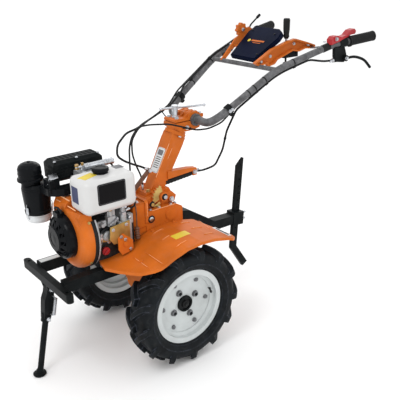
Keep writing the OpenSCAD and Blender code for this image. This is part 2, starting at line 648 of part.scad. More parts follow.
module near_bracket_outline() {
  polygon([[-472, 1031], [-560, 1074], [-640, 1096], [-690, 1104], [-760, 1084], [-806, 1069], [-804, 1054],
    [-748, 1060], [-712, 1051], [-676, 1058], [-593, 1032], [-577, 1017], [-543, 1011], [-536, 1024],
    [-512, 1020], [-490, 1020]]);
}
// Switch box inside the left bracket; the gear lever's rod passes through it.
module switch_box() color(black) from_axle() difference() {
  translate([-722, 52, 1030]) cube([76, bracket_y - 52 - skin_gap, 32]);
  rod([-664, 72, 1000], [-664, 72, 1100], 8 + 2 * fit_gap);
}
module gear_lever() color(black) from_axle() {
  rod([-664, 72, 1004], [-664, 72, 1116], 8);
  rod([-664, 62, 1004], [-664, 82, 1004], 14);
  translate([-664, 72, 0]) rotate_extrude()
    polygon([[0, 1104], [8, 1104], [12, 1112], [11, 1122], [13, 1140], [13.5, 1176], [11, 1182], [0, 1183]]);
}
module grip(side) color(black) from_axle() on_side(side) difference() {
  union() {
    rod(on_arm(0), on_arm(grip_l), grip_d);
    rod(on_arm(0), on_arm(6), grip_d + 3);
    rod(on_arm(grip_l - 6), on_arm(grip_l), grip_d + 8);
  }
  rod(on_arm(grip_wall), on_arm(grip_l + 1), arm_d + 0.2);
}
// Casting that carries the clutch lever under the left arm.
module clutch_bracket() color(black) from_axle() difference() {
  union() {
    rod(on_arm(grip_l + 12), on_arm(grip_l + 46), arm_d + 10);
    plate_xz(244, 15) polygon([[-742, 1078], [-744, 1046], [-750, 1024], [-796, 1018], [-814, 1030],
      [-808, 1052], [-796, 1080]]);
    rod([-742, 250, 1030], [-762, 250, 1030], 17);
  }
  arm_space(4, 11, fit_gap);
  near_strap(skin_gap);
}
// Clutch lever, and the small lever on the right arm.
module hand_levers() color(black) from_axle() {
  disc_y([-800, 259.3, 1034], 12, 10);
  swept(rounded([[-800, 265.2, 1034], [-850, 268, 1036], [-896, 280, 1020], [-926, 288, 986]], 20, 4),
    11, 10);
  difference() {
    union() {
      rod(right_arm(grip_l + 60), right_arm(grip_l + 76), arm_d + 9);
      swept(rounded([right_arm(grip_l + 68) + [0, 0, 14], right_arm(grip_l + 64) + [0, 4, 36],
        right_arm(grip_l + 10) + [0, 10, 62]], 14, 4), 7, 8);
      rod(right_arm(grip_l + 14) + [0, 9.6, 60.1], right_arm(grip_l - 4) + [0, 11.4, 68], 12);
    }
    on_side(-1) arm_space(4, 11, fit_gap);
  }
}
function right_arm(s) = mirrored([on_arm(s)])[0];
module throttle_lever() color("#B6303A") from_axle() difference() {
  union() {
    translate([0, 4, 0]) plate_xz(232, 26) polygon([[-716, 1092], [-716, 1112], [-728, 1122], [-748, 1124],
      [-772, 1116], [-800, 1122], [-822, 1138], [-846, 1142], [-856, 1132], [-850, 1122], [-828, 1121],
      [-806, 1112], [-790, 1106]]);
    disc_y([-740, 234, 1112], 11, 30);
  }
  arm_space(4, 11, 5 + fit_gap);
  rod(on_arm(grip_l - 60), on_arm(grip_l + 1), grip_d + 9);
}

// ---- cables ----
// A point beside an arm's tube from a to b: share t along it, d from its centre line,
// turned by angle q from straight below it towards the machine's middle.
function below(a, b, t, d, q) = let (r = unit(b - a), w = unit([0, 0, 1] - r[2] * r), n = cross(r, w),
  s = n[1] * a[1] > 0 ? -n : n) a + t * (b - a) - d * (cos(q) * w - sin(q) * s);
cable_d = 8;
wire_d = 6.5;
hang = arm_d / 2 + cable_d / 2 + skin_gap;
wire_hang = arm_d / 2 + wire_d / 2 + skin_gap;
// Points beside the left arm's path from point i to point k.
function along_arm(i, k, d, q) = [for (n = [i : k])
  below(arm_path[n], arm_path[n] + arm_run[n], 0, d, q)];
clutch_route = concat(
  rounded([[-234, 22, 633], [-266, 32, 633], [-300, 62, 652], [-314, 92, 720], [-304, 128, 804],
    below(arm_joint, arm_bend, 0.15, hang + 4, 0), along_arm(1, 1, hang, 0)[0]], 16, 3),
  along_arm(2, 6, hang, 0),
  rounded([[-690, 234, 1034], [-710, 246, 1024], [-740.2, 250, 1030]], 8, 3));
throttle_route = concat(
  reversed(along_arm(1, 6, wire_hang, 34)),
  rounded([below(arm_joint, arm_bend, 0.16, wire_hang + 5, 34), [-284, 122, 838], [-236, 104, 820],
    [-196, 84, 818], [-148, 64, 834], [-98, 48, 851], [-24, 30, 858], [14, 16, 854], [52, 28, 826],
    [68, 34, 790],
    [74, 40, 717], [86, 66, 640], [96, 100, 598], [141, 99, 592]], 14, 3));
shift_route = concat(
  reversed(mirrored(along_arm(1, 8, hang, 180))),
  rounded([below(arm_joint, arm_bend, 0.22, hang + 6, 180), [-284, 126, 916], [-222, 112, 876],
    [-170, 98, 862], [-108, 80, 848], [-34, 26, 850], [10, -4, 846], [62, -8, 838], [106, -18, 806],
    [112, -20, 766], [84, -24, 742], [40, -22, 718], [12, -20, 705],
    [shift_top[0], -shift_top[1], shift_top[2]] + 8.5 * unit([31, 0, 20])], 14, 3)
    * [[1, 0, 0], [0, -1, 0], [0, 0, 1]]);
stop_route = concat(
  reversed(mirrored(along_arm(1, 5, wire_hang, 213))),
  rounded([below(arm_joint, arm_bend, 0.22, wire_hang + 6, 213), [-284, 150, 918], [-224, 130, 872],
    [-172, 112, 858], [-112, 94, 842], [-38, 42, 838], [4, 8, 836], [28, 12, 800], [30, 10, 749],
    [18, 7, 703], [0, 6, 660], [-4, 6, 630], [-4, 6, column_seat + skin_gap]], 14, 3)
    * [[1, 0, 0], [0, -1, 0], [0, 0, 1]]);
module clutch_cable() color(black) from_axle() swept(clutch_route, cable_d, 8);
module throttle_cable() color(black) from_axle() swept(throttle_route, wire_d, 8);
module shift_cable() color(black) from_axle() swept(shift_route, cable_d, 8);
module stop_cable() color(black) from_axle() swept(stop_route, wire_d, 8);
// Arm that holds the end of the clutch cable's sleeve.
module clutch_arm() color(orange) from_axle() difference() {
  union() {
    plate_xz(6, 26) polygon([[-96, 634], [-214, 641], [-214, 622], [-232.4, 622], [-232.4, 650], [-200, 656],
      [-150, 660], [-96, 664]]);
  }
  on_column() scale([1.002, 1.002, 1]) column_body();
}
module clutch_boot() color(black) from_axle() difference() {
  union() {
    rod([-90, 19, 620], [-212.6, 19, 630], 20);
    for (k = [0 : 3]) rod([-187 - 6 * k, 19, 627.8 + 0.5 * k], [-190 - 6 * k, 19, 628.1 + 0.5 * k], 21);
  }
  on_column() scale([1.002, 1.002, 1]) column_body();
  plate_xz(5.7, 40) polygon([[-80, 632.7], [-214, 640.7], [-232.4, 650], [-96, 664]]);
}

// ---- rear hitch ----
module hitch_beam() color(black) from_axle() difference() {
  union() {
    plate_xz(-22, 44) polygon([[case_rear - 6.1, 440], [case_rear - 6.1, 492], [-200, 476],
      [-330, 392], [-440, 388], [-440, 350], [-330, 350], [-210, 430]]);
    plate_yz(case_rear - 18.1, 12) soft_rect([-40, 430], [80, 74], 8);
    on_depth_bar() {
      translate([-27, -25, -28]) cube([54, 50, 56]);
      // Clamp bolts with their nuts, pointing to the rear.
      for (z = [-14, 14]) {
        rod([-26, 0, z], [-44, 0, z], 10);
        translate([-35, 0, z]) rotate([0, 90, 0]) cylinder(d = 18, h = 9, $fn = 6);
      }
    }
  }
  on_depth_bar() translate([-depth_bar_w / 2 - fit_gap, -depth_bar_t / 2 - fit_gap, -60])
    cube([depth_bar_w + 2 * fit_gap, depth_bar_t + 2 * fit_gap, 120]);
}
module on_depth_bar() { translate([-459, 0, 369]) rotate([0, -5.5, 0]) children(); }
module depth_bar() color(black) from_axle() on_depth_bar() difference() {
  plate_xz(-depth_bar_t / 2, depth_bar_t) polygon([[-depth_bar_w / 2, 262], [depth_bar_w / 2, 228],
    [depth_bar_w / 2, -142], [-62, -240], [-86, -222], [-depth_bar_w / 2, -134]]);
  for (k = [-3 : 6])
    disc_y([0, -depth_bar_t, 46 + depth_pitch * (k - (k < 0 ? 2 : 0))], 3.5, 2 * depth_bar_t);
}

tyre(1);  // tyre_left
tyre(-1);  // tyre_right
rim(1);  // rim_left
rim(-1);  // rim_right
hub(1);  // hub_left
hub(-1);  // hub_right
gear_case();
selector_housing();
shift_rod();
fender(1);  // fender_left
fender(-1);  // fender_right
crankcase();
cylinder_block();
rocker_cover();
head_fittings();
fan_cowl();
cowl_seal();
starter_cover();
fuel_tank();
fuel_cap();
muffler();
air_cleaner();
air_cleaner_bowl();
intake_duct();
injection_pump();
speed_plate();
control_plate();
oil_cap();
engine_rails();
front_bar();
stand_leg();
stand_spring();
steering_column();
clutch_arm();
clutch_boot();
hitch_beam();
depth_bar();
swivel_head();
clamp_cap();
clamp_lever();
handlebar_base();
handlebar_arms();
arm_collars();
control_panel();
panel_brackets();
switch_box();
gear_lever();
grip(1);  // grip_left
grip(-1);  // grip_right
clutch_bracket();
hand_levers();
throttle_lever();
clutch_cable();
throttle_cable();
shift_cable();
stop_cable();
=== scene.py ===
import json
import math

import bpy
import numpy as np
from mathutils import Matrix, Vector


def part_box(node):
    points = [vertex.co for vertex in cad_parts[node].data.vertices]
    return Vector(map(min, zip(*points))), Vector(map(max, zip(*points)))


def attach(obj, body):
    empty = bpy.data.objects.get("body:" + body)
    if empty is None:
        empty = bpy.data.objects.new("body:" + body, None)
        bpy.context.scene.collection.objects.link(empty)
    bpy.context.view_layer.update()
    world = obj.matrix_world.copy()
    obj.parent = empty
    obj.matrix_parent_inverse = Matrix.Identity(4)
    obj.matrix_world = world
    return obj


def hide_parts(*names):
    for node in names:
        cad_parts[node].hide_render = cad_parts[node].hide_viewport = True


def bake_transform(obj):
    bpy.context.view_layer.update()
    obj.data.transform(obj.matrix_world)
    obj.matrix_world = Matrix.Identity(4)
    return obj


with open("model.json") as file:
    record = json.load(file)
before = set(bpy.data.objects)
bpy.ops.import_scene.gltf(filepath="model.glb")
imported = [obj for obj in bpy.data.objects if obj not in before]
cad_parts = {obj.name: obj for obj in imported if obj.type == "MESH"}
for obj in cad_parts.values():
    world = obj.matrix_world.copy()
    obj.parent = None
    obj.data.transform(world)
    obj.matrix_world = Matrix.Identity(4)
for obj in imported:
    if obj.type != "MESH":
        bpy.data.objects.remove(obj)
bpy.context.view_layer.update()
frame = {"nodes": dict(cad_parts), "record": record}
tyre_low, tyre_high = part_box("tyre_left")
AXLE_X = (tyre_low.x + tyre_high.x) / 2
TYRE_R = (tyre_high.z - tyre_low.z) / 2
TRACK = (tyre_low.y + tyre_high.y) / 2
SIDES = (1, -1)
WHEELS = ((1, "left"), (-1, "right"))
FRONT, REAR, LEFT, RIGHT, TOP = (1, 0, 0), (-1, 0, 0), (0, 1, 0), (0, -1, 0), (0, 0, 1)


def at(x, y, z):
    """A place in the model's metres, from millimetres ahead of the wheel shaft, to the left and up."""
    return np.array([AXLE_X + x / 1000, y / 1000, z / 1000])


def places(rows):
    """Many places at once, one row each."""
    return np.array(rows, float) / 1000 + np.array([AXLE_X, 0, 0])


# %% [markdown]
# ## The camera
# A camera is a place, a direction and a focal length. The direction is given by how far the camera
# has gone round the machine and how high it looks down from. A small roll turns it about the line
# it looks along. A Track To constraint could aim it, but has no roll. So its matrix is written down:
# the columns are the camera's right, its up and the way back to the eye.
# %% Camera
CAMERA_AT = at(1181.7, 1870.9, 1432.3)
ROUND, DOWN, ROLL = math.radians(37.82), math.radians(21.59), math.radians(-1.12)
LENS_MM = 56.53
back = np.array([math.sin(ROUND) * math.cos(DOWN), math.cos(ROUND) * math.cos(DOWN), math.sin(DOWN)])
level = np.cross(-back, [0, 0, 1])
level /= np.linalg.norm(level)
upright = np.cross(back, level)
right = math.cos(ROLL) * level + math.sin(ROLL) * upright
up = -math.sin(ROLL) * level + math.cos(ROLL) * upright
camera_data = bpy.data.cameras.new("camera")
camera_data.lens = LENS_MM
camera_data.sensor_width = 36
camera_data.clip_end = 60
camera = bpy.data.objects.new("camera", camera_data)
matrix = np.eye(4)
matrix[:3, 0], matrix[:3, 1], matrix[:3, 2], matrix[:3, 3] = right, up, back, CAMERA_AT
camera.matrix_world = Matrix(matrix.tolist())
bpy.context.scene.collection.objects.link(camera)
bpy.context.scene.camera = camera
print("camera", np.round(CAMERA_AT, 3), "lens", LENS_MM)

# %% [markdown]
# ## Floor and light
# The studio is a pale floor that runs to a pale horizon, a lamp high on the left of the camera, a
# broader and weaker one on the right, one behind the machine, and an even white sky that keeps the
# shadows soft. White enamel and black rubber stand side by side, so the lamps only add shape to what
# the sky gives.
# %% Floor, lamps and sky
scene = bpy.context.scene
scene.view_settings.view_transform = "Standard"
floor_mesh = bpy.data.meshes.new("floor")
FLOOR = 14.0
corners = [(FLOOR * x, FLOOR * y, 0) for x, y in ((-1, -1), (1, -1), (1, 1), (-1, 1))]
floor_mesh.from_pydata(corners, [], [(0, 1, 2, 3)])
floor = bpy.data.objects.new("floor", floor_mesh)
scene.collection.objects.link(floor)
pale = bpy.data.materials.new("pale_floor")
pale.use_nodes = True
pale.node_tree.nodes["Principled BSDF"].inputs["Base Color"].default_value = (0.95, 0.95, 0.95, 1)
pale.node_tree.nodes["Principled BSDF"].inputs["Roughness"].default_value = 0.9
floor_mesh.materials.append(pale)
world = bpy.data.worlds.new("sky")
scene.world = world
world.use_nodes = True
world.node_tree.nodes["Background"].inputs["Color"].default_value = (1.0, 1.0, 1.0, 1)
world.node_tree.nodes["Background"].inputs["Strength"].default_value = 1.08


def lamp(name, place, aim, size, watts):
    """A square soft lamp that faces a point: its own Z is the way from the point back to the lamp."""
    data = bpy.data.lights.new(name, "AREA")
    data.size, data.energy = size, watts
    obj = bpy.data.objects.new(name, data)
    away = Vector(place) - Vector(aim)
    obj.location = place
    obj.rotation_euler = away.to_track_quat("Z", "Y").to_euler()
    scene.collection.objects.link(obj)


middle = (0.1, 0.0, 0.5)
lamp("key", (2.2, 1.0, 3.2), middle, 1.2, 30)
lamp("fill", (-1.6, 3.4, 1.8), middle, 1.8, 9)
lamp("rim_light", (-2.4, -2.6, 2.6), middle, 1.6, 16)

# %% [markdown]
# ## Finishes
# Paint on a farm machine is never one colour: castings take it unevenly, edges are rubbed lighter,
# and dust dulls it in patches. One function builds such a finish from a few numbers. A slow noise
# shifts the tone, a second noise dulls patches, a fine noise lifts the surface like orange
# peel or sand casting, and the difference between a softened and a true normal finds
# the edges that wear first. On the tyre the same lighter edge colour is a painted sheen. Painted
# textures could do the same, but would need files and unwrapped meshes. All patterns read Object coordinates,
# so they stay on a moving part.
# %% A painted or moulded finish
def finish(name, colour, rough, metallic=0.0, tone=0.1, tone_scale=9.0, dust=0.0, grain=420.0,
           lift=0.12, edge=0.0009, wear_and_sheen=0.0, wear_and_sheen_colour=(0.6, 0.6, 0.6), coat=0.0, spread=0.1, shine=0.4):
    """colour * (1 - tone .. 1 + tone) by a slow noise, mixed with dust by a patchy noise and along the
    edges with an edge colour (thinned paint on most finishes, a painted sheen on the tyre); roughness rises
    by spread where the patches are."""
    mat = bpy.data.materials.new(name)
    mat.use_nodes = True
    tree = mat.node_tree

    def fill(node, inputs):
        """Gives each input a constant, or joins it to the output that it is given."""
        for key, value in inputs.items():
            if isinstance(value, bpy.types.NodeSocket):
                tree.links.new(value, node.inputs[key])
            else:
                node.inputs[key].default_value = value

    def made(kind, output, inputs, **settings):
        """A new node, of which one output comes back."""
        node = tree.nodes.new("ShaderNode" + kind)
        for key, value in settings.items():
            setattr(node, key, value)
        fill(node, inputs)
        return node.outputs[output]

    coords = made("TexCoord", "Object", {})

    def noise(scale, detail=4.0, warp=0.0):
        """A noise from 0 to 1, whose grains are one over scale metres."""
        inputs = {"Scale": scale, "Detail": detail, "Distortion": warp, "Vector": coords}
        return made("TexNoise", "Fac", inputs)

    def ranged(source, low, high, to_low, to_high):
        """The range from low to high, stretched to the range from to_low to to_high."""
        inputs = {"Value": source, "From Min": low, "From Max": high, "To Min": to_low, "To Max": to_high}
        return made("MapRange", "Result", inputs)

    def mixed(factor, a, b):
        """Two colours: (1 - factor) * a + factor * b."""
        return made("Mix", 2, {0: factor, 6: a, 7: b}, data_type="RGBA")

    dark = (*(max(c * (1 - tone), 0) for c in colour), 1)
    light = (*(min(c * (1 + tone), 1) for c in colour), 1)
    patches = noise(tone_scale * 3.1, 8.0, 0.6)
    paint = mixed(ranged(noise(tone_scale), 0.35, 0.65, 0, 1), dark, light)
    if dust:
        paint = mixed(ranged(patches, 0.48, 0.72, 0, dust), paint, (0.36, 0.35, 0.33, 1))
    soft = made("Bevel", "Normal", {"Radius": edge}, samples=4)
    # The edge colour is thinned paint on most finishes and a painted sheen on the tyre.
    if wear_and_sheen:
        true_normal = made("NewGeometry", "Normal", {})
        turn = made("VectorMath", "Value", {0: soft, 1: true_normal}, operation="DOT_PRODUCT")
        edges = ranged(turn, 0.985, 0.90, 0, wear_and_sheen)
        gaps = ranged(noise(70.0, 6.0), 0.42, 0.6, 0.2, 1)
        wear_and_sheen_mask = made("Math", "Value", {0: edges, 1: gaps}, operation="MULTIPLY")
        paint = mixed(wear_and_sheen_mask, paint, (*wear_and_sheen_colour, 1))
    bumps = {"Strength": lift, "Distance": 0.0006, "Height": noise(grain, 3.0), "Normal": soft}
    fill(tree.nodes["Principled BSDF"], {
        "Metallic": metallic, "Specular IOR Level": shine, "Coat Weight": coat, "Coat Roughness": 0.12,
        "Base Color": paint, "Roughness": ranged(patches, 0.3, 0.7, rough, min(rough + spread, 1)),
        "Normal": made("Bump", "Normal", bumps)})
    return mat


# %% [markdown]
# The record names fourteen finishes. Enamel is nearly smooth with pale worn edges, castings are
# deeply grained, rubber is mottled, and plated steel is metal with a little roughness. Labels, brass
# and a few odd materials come on top.
# %% The machine's finishes
MATERIAL = {name: finish(name, colour, rough, **more) for name, colour, rough, more in (
    ("orange_paint", (0.535, 0.123, 0.0115), 0.40,
     dict(tone=0.13, lift=0.10, grain=260, wear_and_sheen=0.35, wear_and_sheen_colour=(0.88, 0.36, 0.15), dust=0.04, shine=0.14)),
    ("black_paint", (0.0075, 0.009, 0.0095), 0.36,
     dict(tone=0.25, lift=0.16, wear_and_sheen=0.35, wear_and_sheen_colour=(0.10, 0.11, 0.12), dust=0.02, shine=0.05)),
    ("grey_paint", (0.082, 0.083, 0.088), 0.42,
     dict(tone=0.34, tone_scale=38, lift=0.4, grain=300, wear_and_sheen=0.4, wear_and_sheen_colour=(0.26, 0.26, 0.27), dust=0.20,
          shine=0.3)),
    ("white_paint", (0.575, 0.575, 0.57), 0.30, dict(tone=0.03, lift=0.06, grain=180, coat=0.15)),
    ("silver_paint", (0.53, 0.56, 0.56), 0.40,
     dict(tone=0.07, lift=0.10, dust=0.14, wear_and_sheen=0.4, wear_and_sheen_colour=(0.22, 0.22, 0.23))),
    # On the tyre the bluish colour of the lugs' edges is a painted sheen, not a mark of use.
    ("tyre_rubber", (0.0040, 0.0055, 0.0070), 0.44,
     dict(tone=0.50, tone_scale=16, lift=0.4, grain=200, dust=0.03, wear_and_sheen=0.9, wear_and_sheen_colour=(0.085, 0.095, 0.125),
          edge=0.0045, spread=0.25, shine=0.12)),
    ("black_rubber", (0.0085, 0.009, 0.0095), 0.5,
     dict(tone=0.2, lift=0.2, grain=500, dust=0.02, shine=0.16)),
    ("black_plastic", (0.006, 0.0068, 0.0080), 0.16,
     dict(tone=0.15, lift=0.08, grain=300, wear_and_sheen=0.25, wear_and_sheen_colour=(0.055, 0.06, 0.065), shine=0.07)),
    ("navy_plastic", (0.0040, 0.0065, 0.020), 0.36, dict(tone=0.15, lift=0.06, grain=300, shine=0.02)),
    ("red_plastic", (0.36, 0.012, 0.017), 0.34, dict(tone=0.10, lift=0.08)),
    ("cast_alloy", (0.40, 0.41, 0.42), 0.42,
     dict(metallic=0.6, tone=0.25, tone_scale=20, lift=0.5, grain=520, dust=0.30, wear_and_sheen=0.4,
          wear_and_sheen_colour=(0.7, 0.7, 0.72))),
    ("dark_casting", (0.022, 0.025, 0.028), 0.5,
     dict(metallic=0.3, tone=0.35, tone_scale=18, lift=0.5, grain=480, dust=0.10, wear_and_sheen=0.4,
          wear_and_sheen_colour=(0.15, 0.16, 0.17), shine=0.3)),
    ("zinc_plate", (0.46, 0.33, 0.11), 0.30,
     dict(metallic=0.9, tone=0.25, tone_scale=24, lift=0.15, wear_and_sheen=0.3, wear_and_sheen_colour=(0.85, 0.66, 0.3))),
    ("bright_steel", (0.52, 0.54, 0.57), 0.24,
     dict(metallic=1.0, tone=0.18, tone_scale=30, lift=0.12, grain=700, dust=0.12)))}
PAPER = dict(lift=0.02, edge=0.0003)
LABEL = {name: finish(name, colour, rough, **more) for name, colour, rough, more in (
    ("black_label", (0.0045, 0.0042, 0.005), 0.35, dict(PAPER, tone=0.2, shine=0.08)),
    ("yellow_label", (0.66, 0.50, 0.03), 0.4, dict(PAPER, tone=0.05)),
    ("white_label", (0.66, 0.67, 0.67), 0.4, dict(PAPER, tone=0.05)),
    ("blue_label", (0.025, 0.033, 0.10), 0.4, dict(PAPER, tone=0.06)),
    ("grey_label", (0.13, 0.13, 0.14), 0.4, dict(PAPER, tone=0.06)),
    # A paler orange for painted highlights on fender crests, cowl ledges and cast edges.
    ("highlight_orange", (0.86, 0.44, 0.22), 0.4, dict(tone=0.12, lift=0.05, edge=0.0003)),
    ("pale_plastic", (0.56, 0.57, 0.58), 0.3, dict(tone=0.15, tone_scale=24, lift=0.1)),
    ("dull_steel", (0.17, 0.172, 0.18), 0.34,
     dict(metallic=0.5, tone=0.2, tone_scale=60, lift=0.2, wear_and_sheen=0.5, wear_and_sheen_colour=(0.5, 0.5, 0.52), shine=0.3)),
    ("brown_steel", (0.115, 0.045, 0.022), 0.45,
     dict(tone=0.3, tone_scale=40, lift=0.3, wear_and_sheen=0.4, wear_and_sheen_colour=(0.3, 0.22, 0.17))),
    ("brass", (0.50, 0.30, 0.09), 0.25, dict(metallic=1.0, tone=0.15, lift=0.1)))}
print("finishes", len(MATERIAL) + len(LABEL), "nodes", len(MATERIAL["orange_paint"].node_tree.nodes))

# %% [markdown]
# Every CAD node takes the finish that the record names for it. The mesh stays as it was packed. Two
# nodes look unlike the rest of their finish, and get one of their own.
# %% Finishes on the CAD nodes
for part in frame["record"]["subparts"]:
    node = frame["nodes"].get(part["node"])
    if node is not None:
        node.data.materials.clear()
        node.data.materials.append(MATERIAL[part["material_slot"]])
frame["nodes"]["shift_rod"].data.materials[0] = LABEL["brown_steel"]
frame["nodes"]["air_cleaner_bowl"].data.materials[0] = LABEL["pale_plastic"]
print("nodes finished", len(frame["nodes"]))

# %% [markdown]
# ## Helpers for surfaces
# Almost everything below is a skin: a stack of closed rings, joined ring to ring by four-sided faces
# and closed at both ends. A turned part, a pipe, a rubber boot and a rounded plate differ only
# in how their rings are worked out. Modifiers on simple solids could give such shapes too, but arrays
# put every point where a number says.
# %% Skins
def unit(v):
    """Vectors of length one."""
    v = np.asarray(v, float)
    return v / np.linalg.norm(v, axis=-1, keepdims=True)


def around(count):
    """Angles evenly round a circle."""
    return np.linspace(0, 2 * math.pi, count, endpoint=False)


def skin(rings, looped=False):
    """rings[i, k] is point k of ring i. Point k joins point k+1 and the same two of the next ring. Each
    end is closed by one face, or else the last ring joins the first, as on a tyre."""
    count, size, _ = rings.shape
    index = np.arange(count * size).reshape(count, size)
    a, b = (index, np.roll(index, -1, 0)) if looped else (index[:-1], index[1:])
    walls = np.stack([a, np.roll(a, -1, 1), np.roll(b, -1, 1), b], -1).reshape(-1, 4)
    return rings.reshape(-1, 3), [walls] if looped else [walls, index[:1, ::-1], index[-1:]]


square = np.array([(0, 0, 0), (1, 0, 0), (1, 1, 0), (0, 1, 0)], float)
cube = skin(np.stack([square, square + TOP]))
print("two square rings give", sum(len(f) for f in cube[1]), "faces")


# %% [markdown]
# A skin's faces may all point inwards, which depends on the way its rings run. The sign of its volume
# tells, so nobody has to keep track: one function turns the faces outwards, joins skins of one finish
# in one mesh, and parents it to the empty of the body that carries it.
# %% From skins to objects
def volume(verts, faces):
    """Six times the volume inside: the sum of each face's triangles' triple products with the middle."""
    total, mid = 0.0, verts.mean(0)
    for f in faces:
        p = verts[f] - mid
        for j in range(1, f.shape[1] - 1):
            total += float(np.einsum("ij,ij->i", p[:, 0], np.cross(p[:, j], p[:, j + 1])).sum())
    return total


def make(name, parts, look, body="root", replaces=(), sharp=38, blend=None):
    """Puts skins into one object, each turned outwards by the sign of its volume, and gives it to a body;
    with a blend it stays in place on none.
    """
    verts, faces, base = [], [], 0
    for v, groups in parts:
        outward = volume(v, groups) > 0
        for f in groups:
            faces += ((f if outward else f[:, ::-1]) + base).tolist()
        verts.append(v)
        base += len(v)
    mesh = bpy.data.meshes.new(name)
    mesh.from_pydata(np.vstack(verts).tolist(), [], faces)
    mesh.polygons.foreach_set("use_smooth", np.ones(len(faces), bool))
    mesh.set_sharp_from_angle(angle=math.radians(sharp))
    mesh.materials.append(MATERIAL.get(look) or LABEL[look])
    obj = bpy.data.objects.new(name, mesh)
    scene.collection.objects.link(obj)
    if blend:
        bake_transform(obj)
    else:
        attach(obj, body)
    if replaces:
        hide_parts(*replaces)
    print(f"{name}: {len(faces)} faces on {body if not blend else blend[:2]}")


print("a unit cube's volume", abs(volume(*cube)) / 6)

# %% [markdown]
# A turned part needs half an outline: each point of its profile becomes a ring about the axis. A
# Screw modifier does that for round parts. Here a hexagon is turned too, with a radius that changes
# round the ring, so a nut is made like a washer.
# %% Turned parts
def square_to(axis):
    """Two directions at right angles to an axis and to each other."""
    axis = unit(axis)
    first = unit(np.cross(TOP if abs(axis[2]) < 0.9 else FRONT, axis))
    return first, np.cross(axis, first)


def hex_shape(count):
    """A hexagon's distance from its middle, as a share of its corner's: cos 30 over cos of the turn
    from a flat."""
    return math.cos(math.pi / 6) / np.cos((around(count) + math.pi / 6) % (math.pi / 3) - math.pi / 6)


def turned(profile, place, axis, count=28, shape=1):
    """A profile of (radius, height) millimetres turned about an axis: place + height * axis + radius *
    the turn, times a shape's multiplier all the way round."""
    profile = np.array(profile, float) / 1000
    first, second = square_to(axis)
    angle = around(count)[:, None]
    spokes = np.broadcast_to(shape, count)[:, None] * (np.cos(angle) * first + np.sin(angle) * second)
    rise, radius = profile[:, 1, None, None], profile[:, 0, None, None]
    return skin(np.asarray(place) + rise * unit(axis) + radius * spokes)


def spun(rows):
    """Many turned parts: rows of (profile, (x, y, z), axis, count), and one more value for a hexagon."""
    return [turned(profile, at(*place), axis, count, hex_shape(count) if six else 1)
            for profile, place, axis, count, *six in rows]


def band(radius, rise, reach, bevel=1.0):
    """A band's profile: it rises over a bevel at both ends, reach before and after its middle."""
    top = radius + rise
    return [(radius, -reach), (top, bevel - reach), (top, reach - bevel), (radius, reach)]


print("a hexagon's flats lie at", round(float(hex_shape(24).min()), 3), "of its corners' distance")

# %% [markdown]
# A pipe carries one outline along a path. A bevelled curve would give the same tube, but would have to
# be turned into a mesh before it could be joined with others. The side direction is passed on from
# ring to ring, because one worked out afresh at each point would spin where the path bends.
# %% Pipes along paths
def circle(radius, count=10):
    """A round outline of a radius in millimetres."""
    angle = around(count)
    return radius / 1000 * np.stack([np.cos(angle), np.sin(angle)], -1)


def swept(path, outline, scale=1.0, start=TOP):
    """Carries a flat outline along a path. The side direction is passed from ring to ring with what
    lies along the path taken off, so the outline doesn't twist."""
    path = np.asarray(path, float)
    along = unit(np.gradient(path, axis=0))
    side, v = np.empty_like(along), np.asarray(start, float)
    if abs(along[0] @ unit(v)) > 0.95:
        v = np.array([0.0, 1, 0])
    for i, d in enumerate(along):
        v = unit(v - (v @ d) * d)
        side[i] = v
    other = np.cross(along, side)
    flat = outline[None] * np.broadcast_to(scale, len(path))[:, None, None]
    return skin(path[:, None] + flat[..., :1] * side[:, None] + flat[..., 1:] * other[:, None])


def rounded(points, cut, steps=4):
    """Rounds each corner of a path, from cut before it to cut after it, with a curve of the second degree."""
    points = np.asarray(points, float)
    share = np.linspace(0, 1, steps + 1)[:, None]
    out = [points[:1]]
    for before, corner, after in zip(points[:-2], points[1:-1], points[2:]):
        a, b = (corner + unit(end - corner) * min(cut, np.linalg.norm(end - corner) * 0.48)
                for end in (before, after))
        out.append((1 - share) ** 2 * a + 2 * share * (1 - share) * corner + share**2 * b)
    out.append(points[-1:])
    return np.vstack(out)


print("a bent path of three points gets", len(rounded(np.eye(3), 0.2)), "points")

# %% [markdown]
# A plate is one outline at four heights, drawn in at both faces, so that light catches a small bevel
# all round. A Bevel modifier on an extruded outline would look alike. Four rings are a skin like all
# the others, and can be joined with them in one object.
# %% Plates
def box_outline(width, height, radius, steps=5):
    """A rectangle with round corners about its middle, in metres from millimetres, anticlockwise."""
    quarter = np.linspace(0, math.pi / 2, steps)
    out = []
    for k, (sx, sy) in enumerate(((1, 1), (-1, 1), (-1, -1), (1, -1))):
        centre = np.array([sx * (width / 2 - radius), sy * (height / 2 - radius)])
        turn = quarter + k * math.pi / 2
        out.append(centre + radius * np.stack([np.cos(turn), np.sin(turn)], -1))
    return np.vstack(out) / 1000


def inset(outline, depth):
    """Moves a closed anticlockwise outline inwards by depth metres, along the mean of its two sides'
    normals."""
    into, out_of = outline - np.roll(outline, 1, 0), np.roll(outline, -1, 0) - outline
    normals = [np.stack([-unit(v)[:, 1], unit(v)[:, 0]], -1) for v in (into, out_of)]
    mean = unit(normals[0] + normals[1])
    reach = np.maximum((mean * normals[1]).sum(1), 0.5)
    return outline + mean * (depth / reach)[:, None]


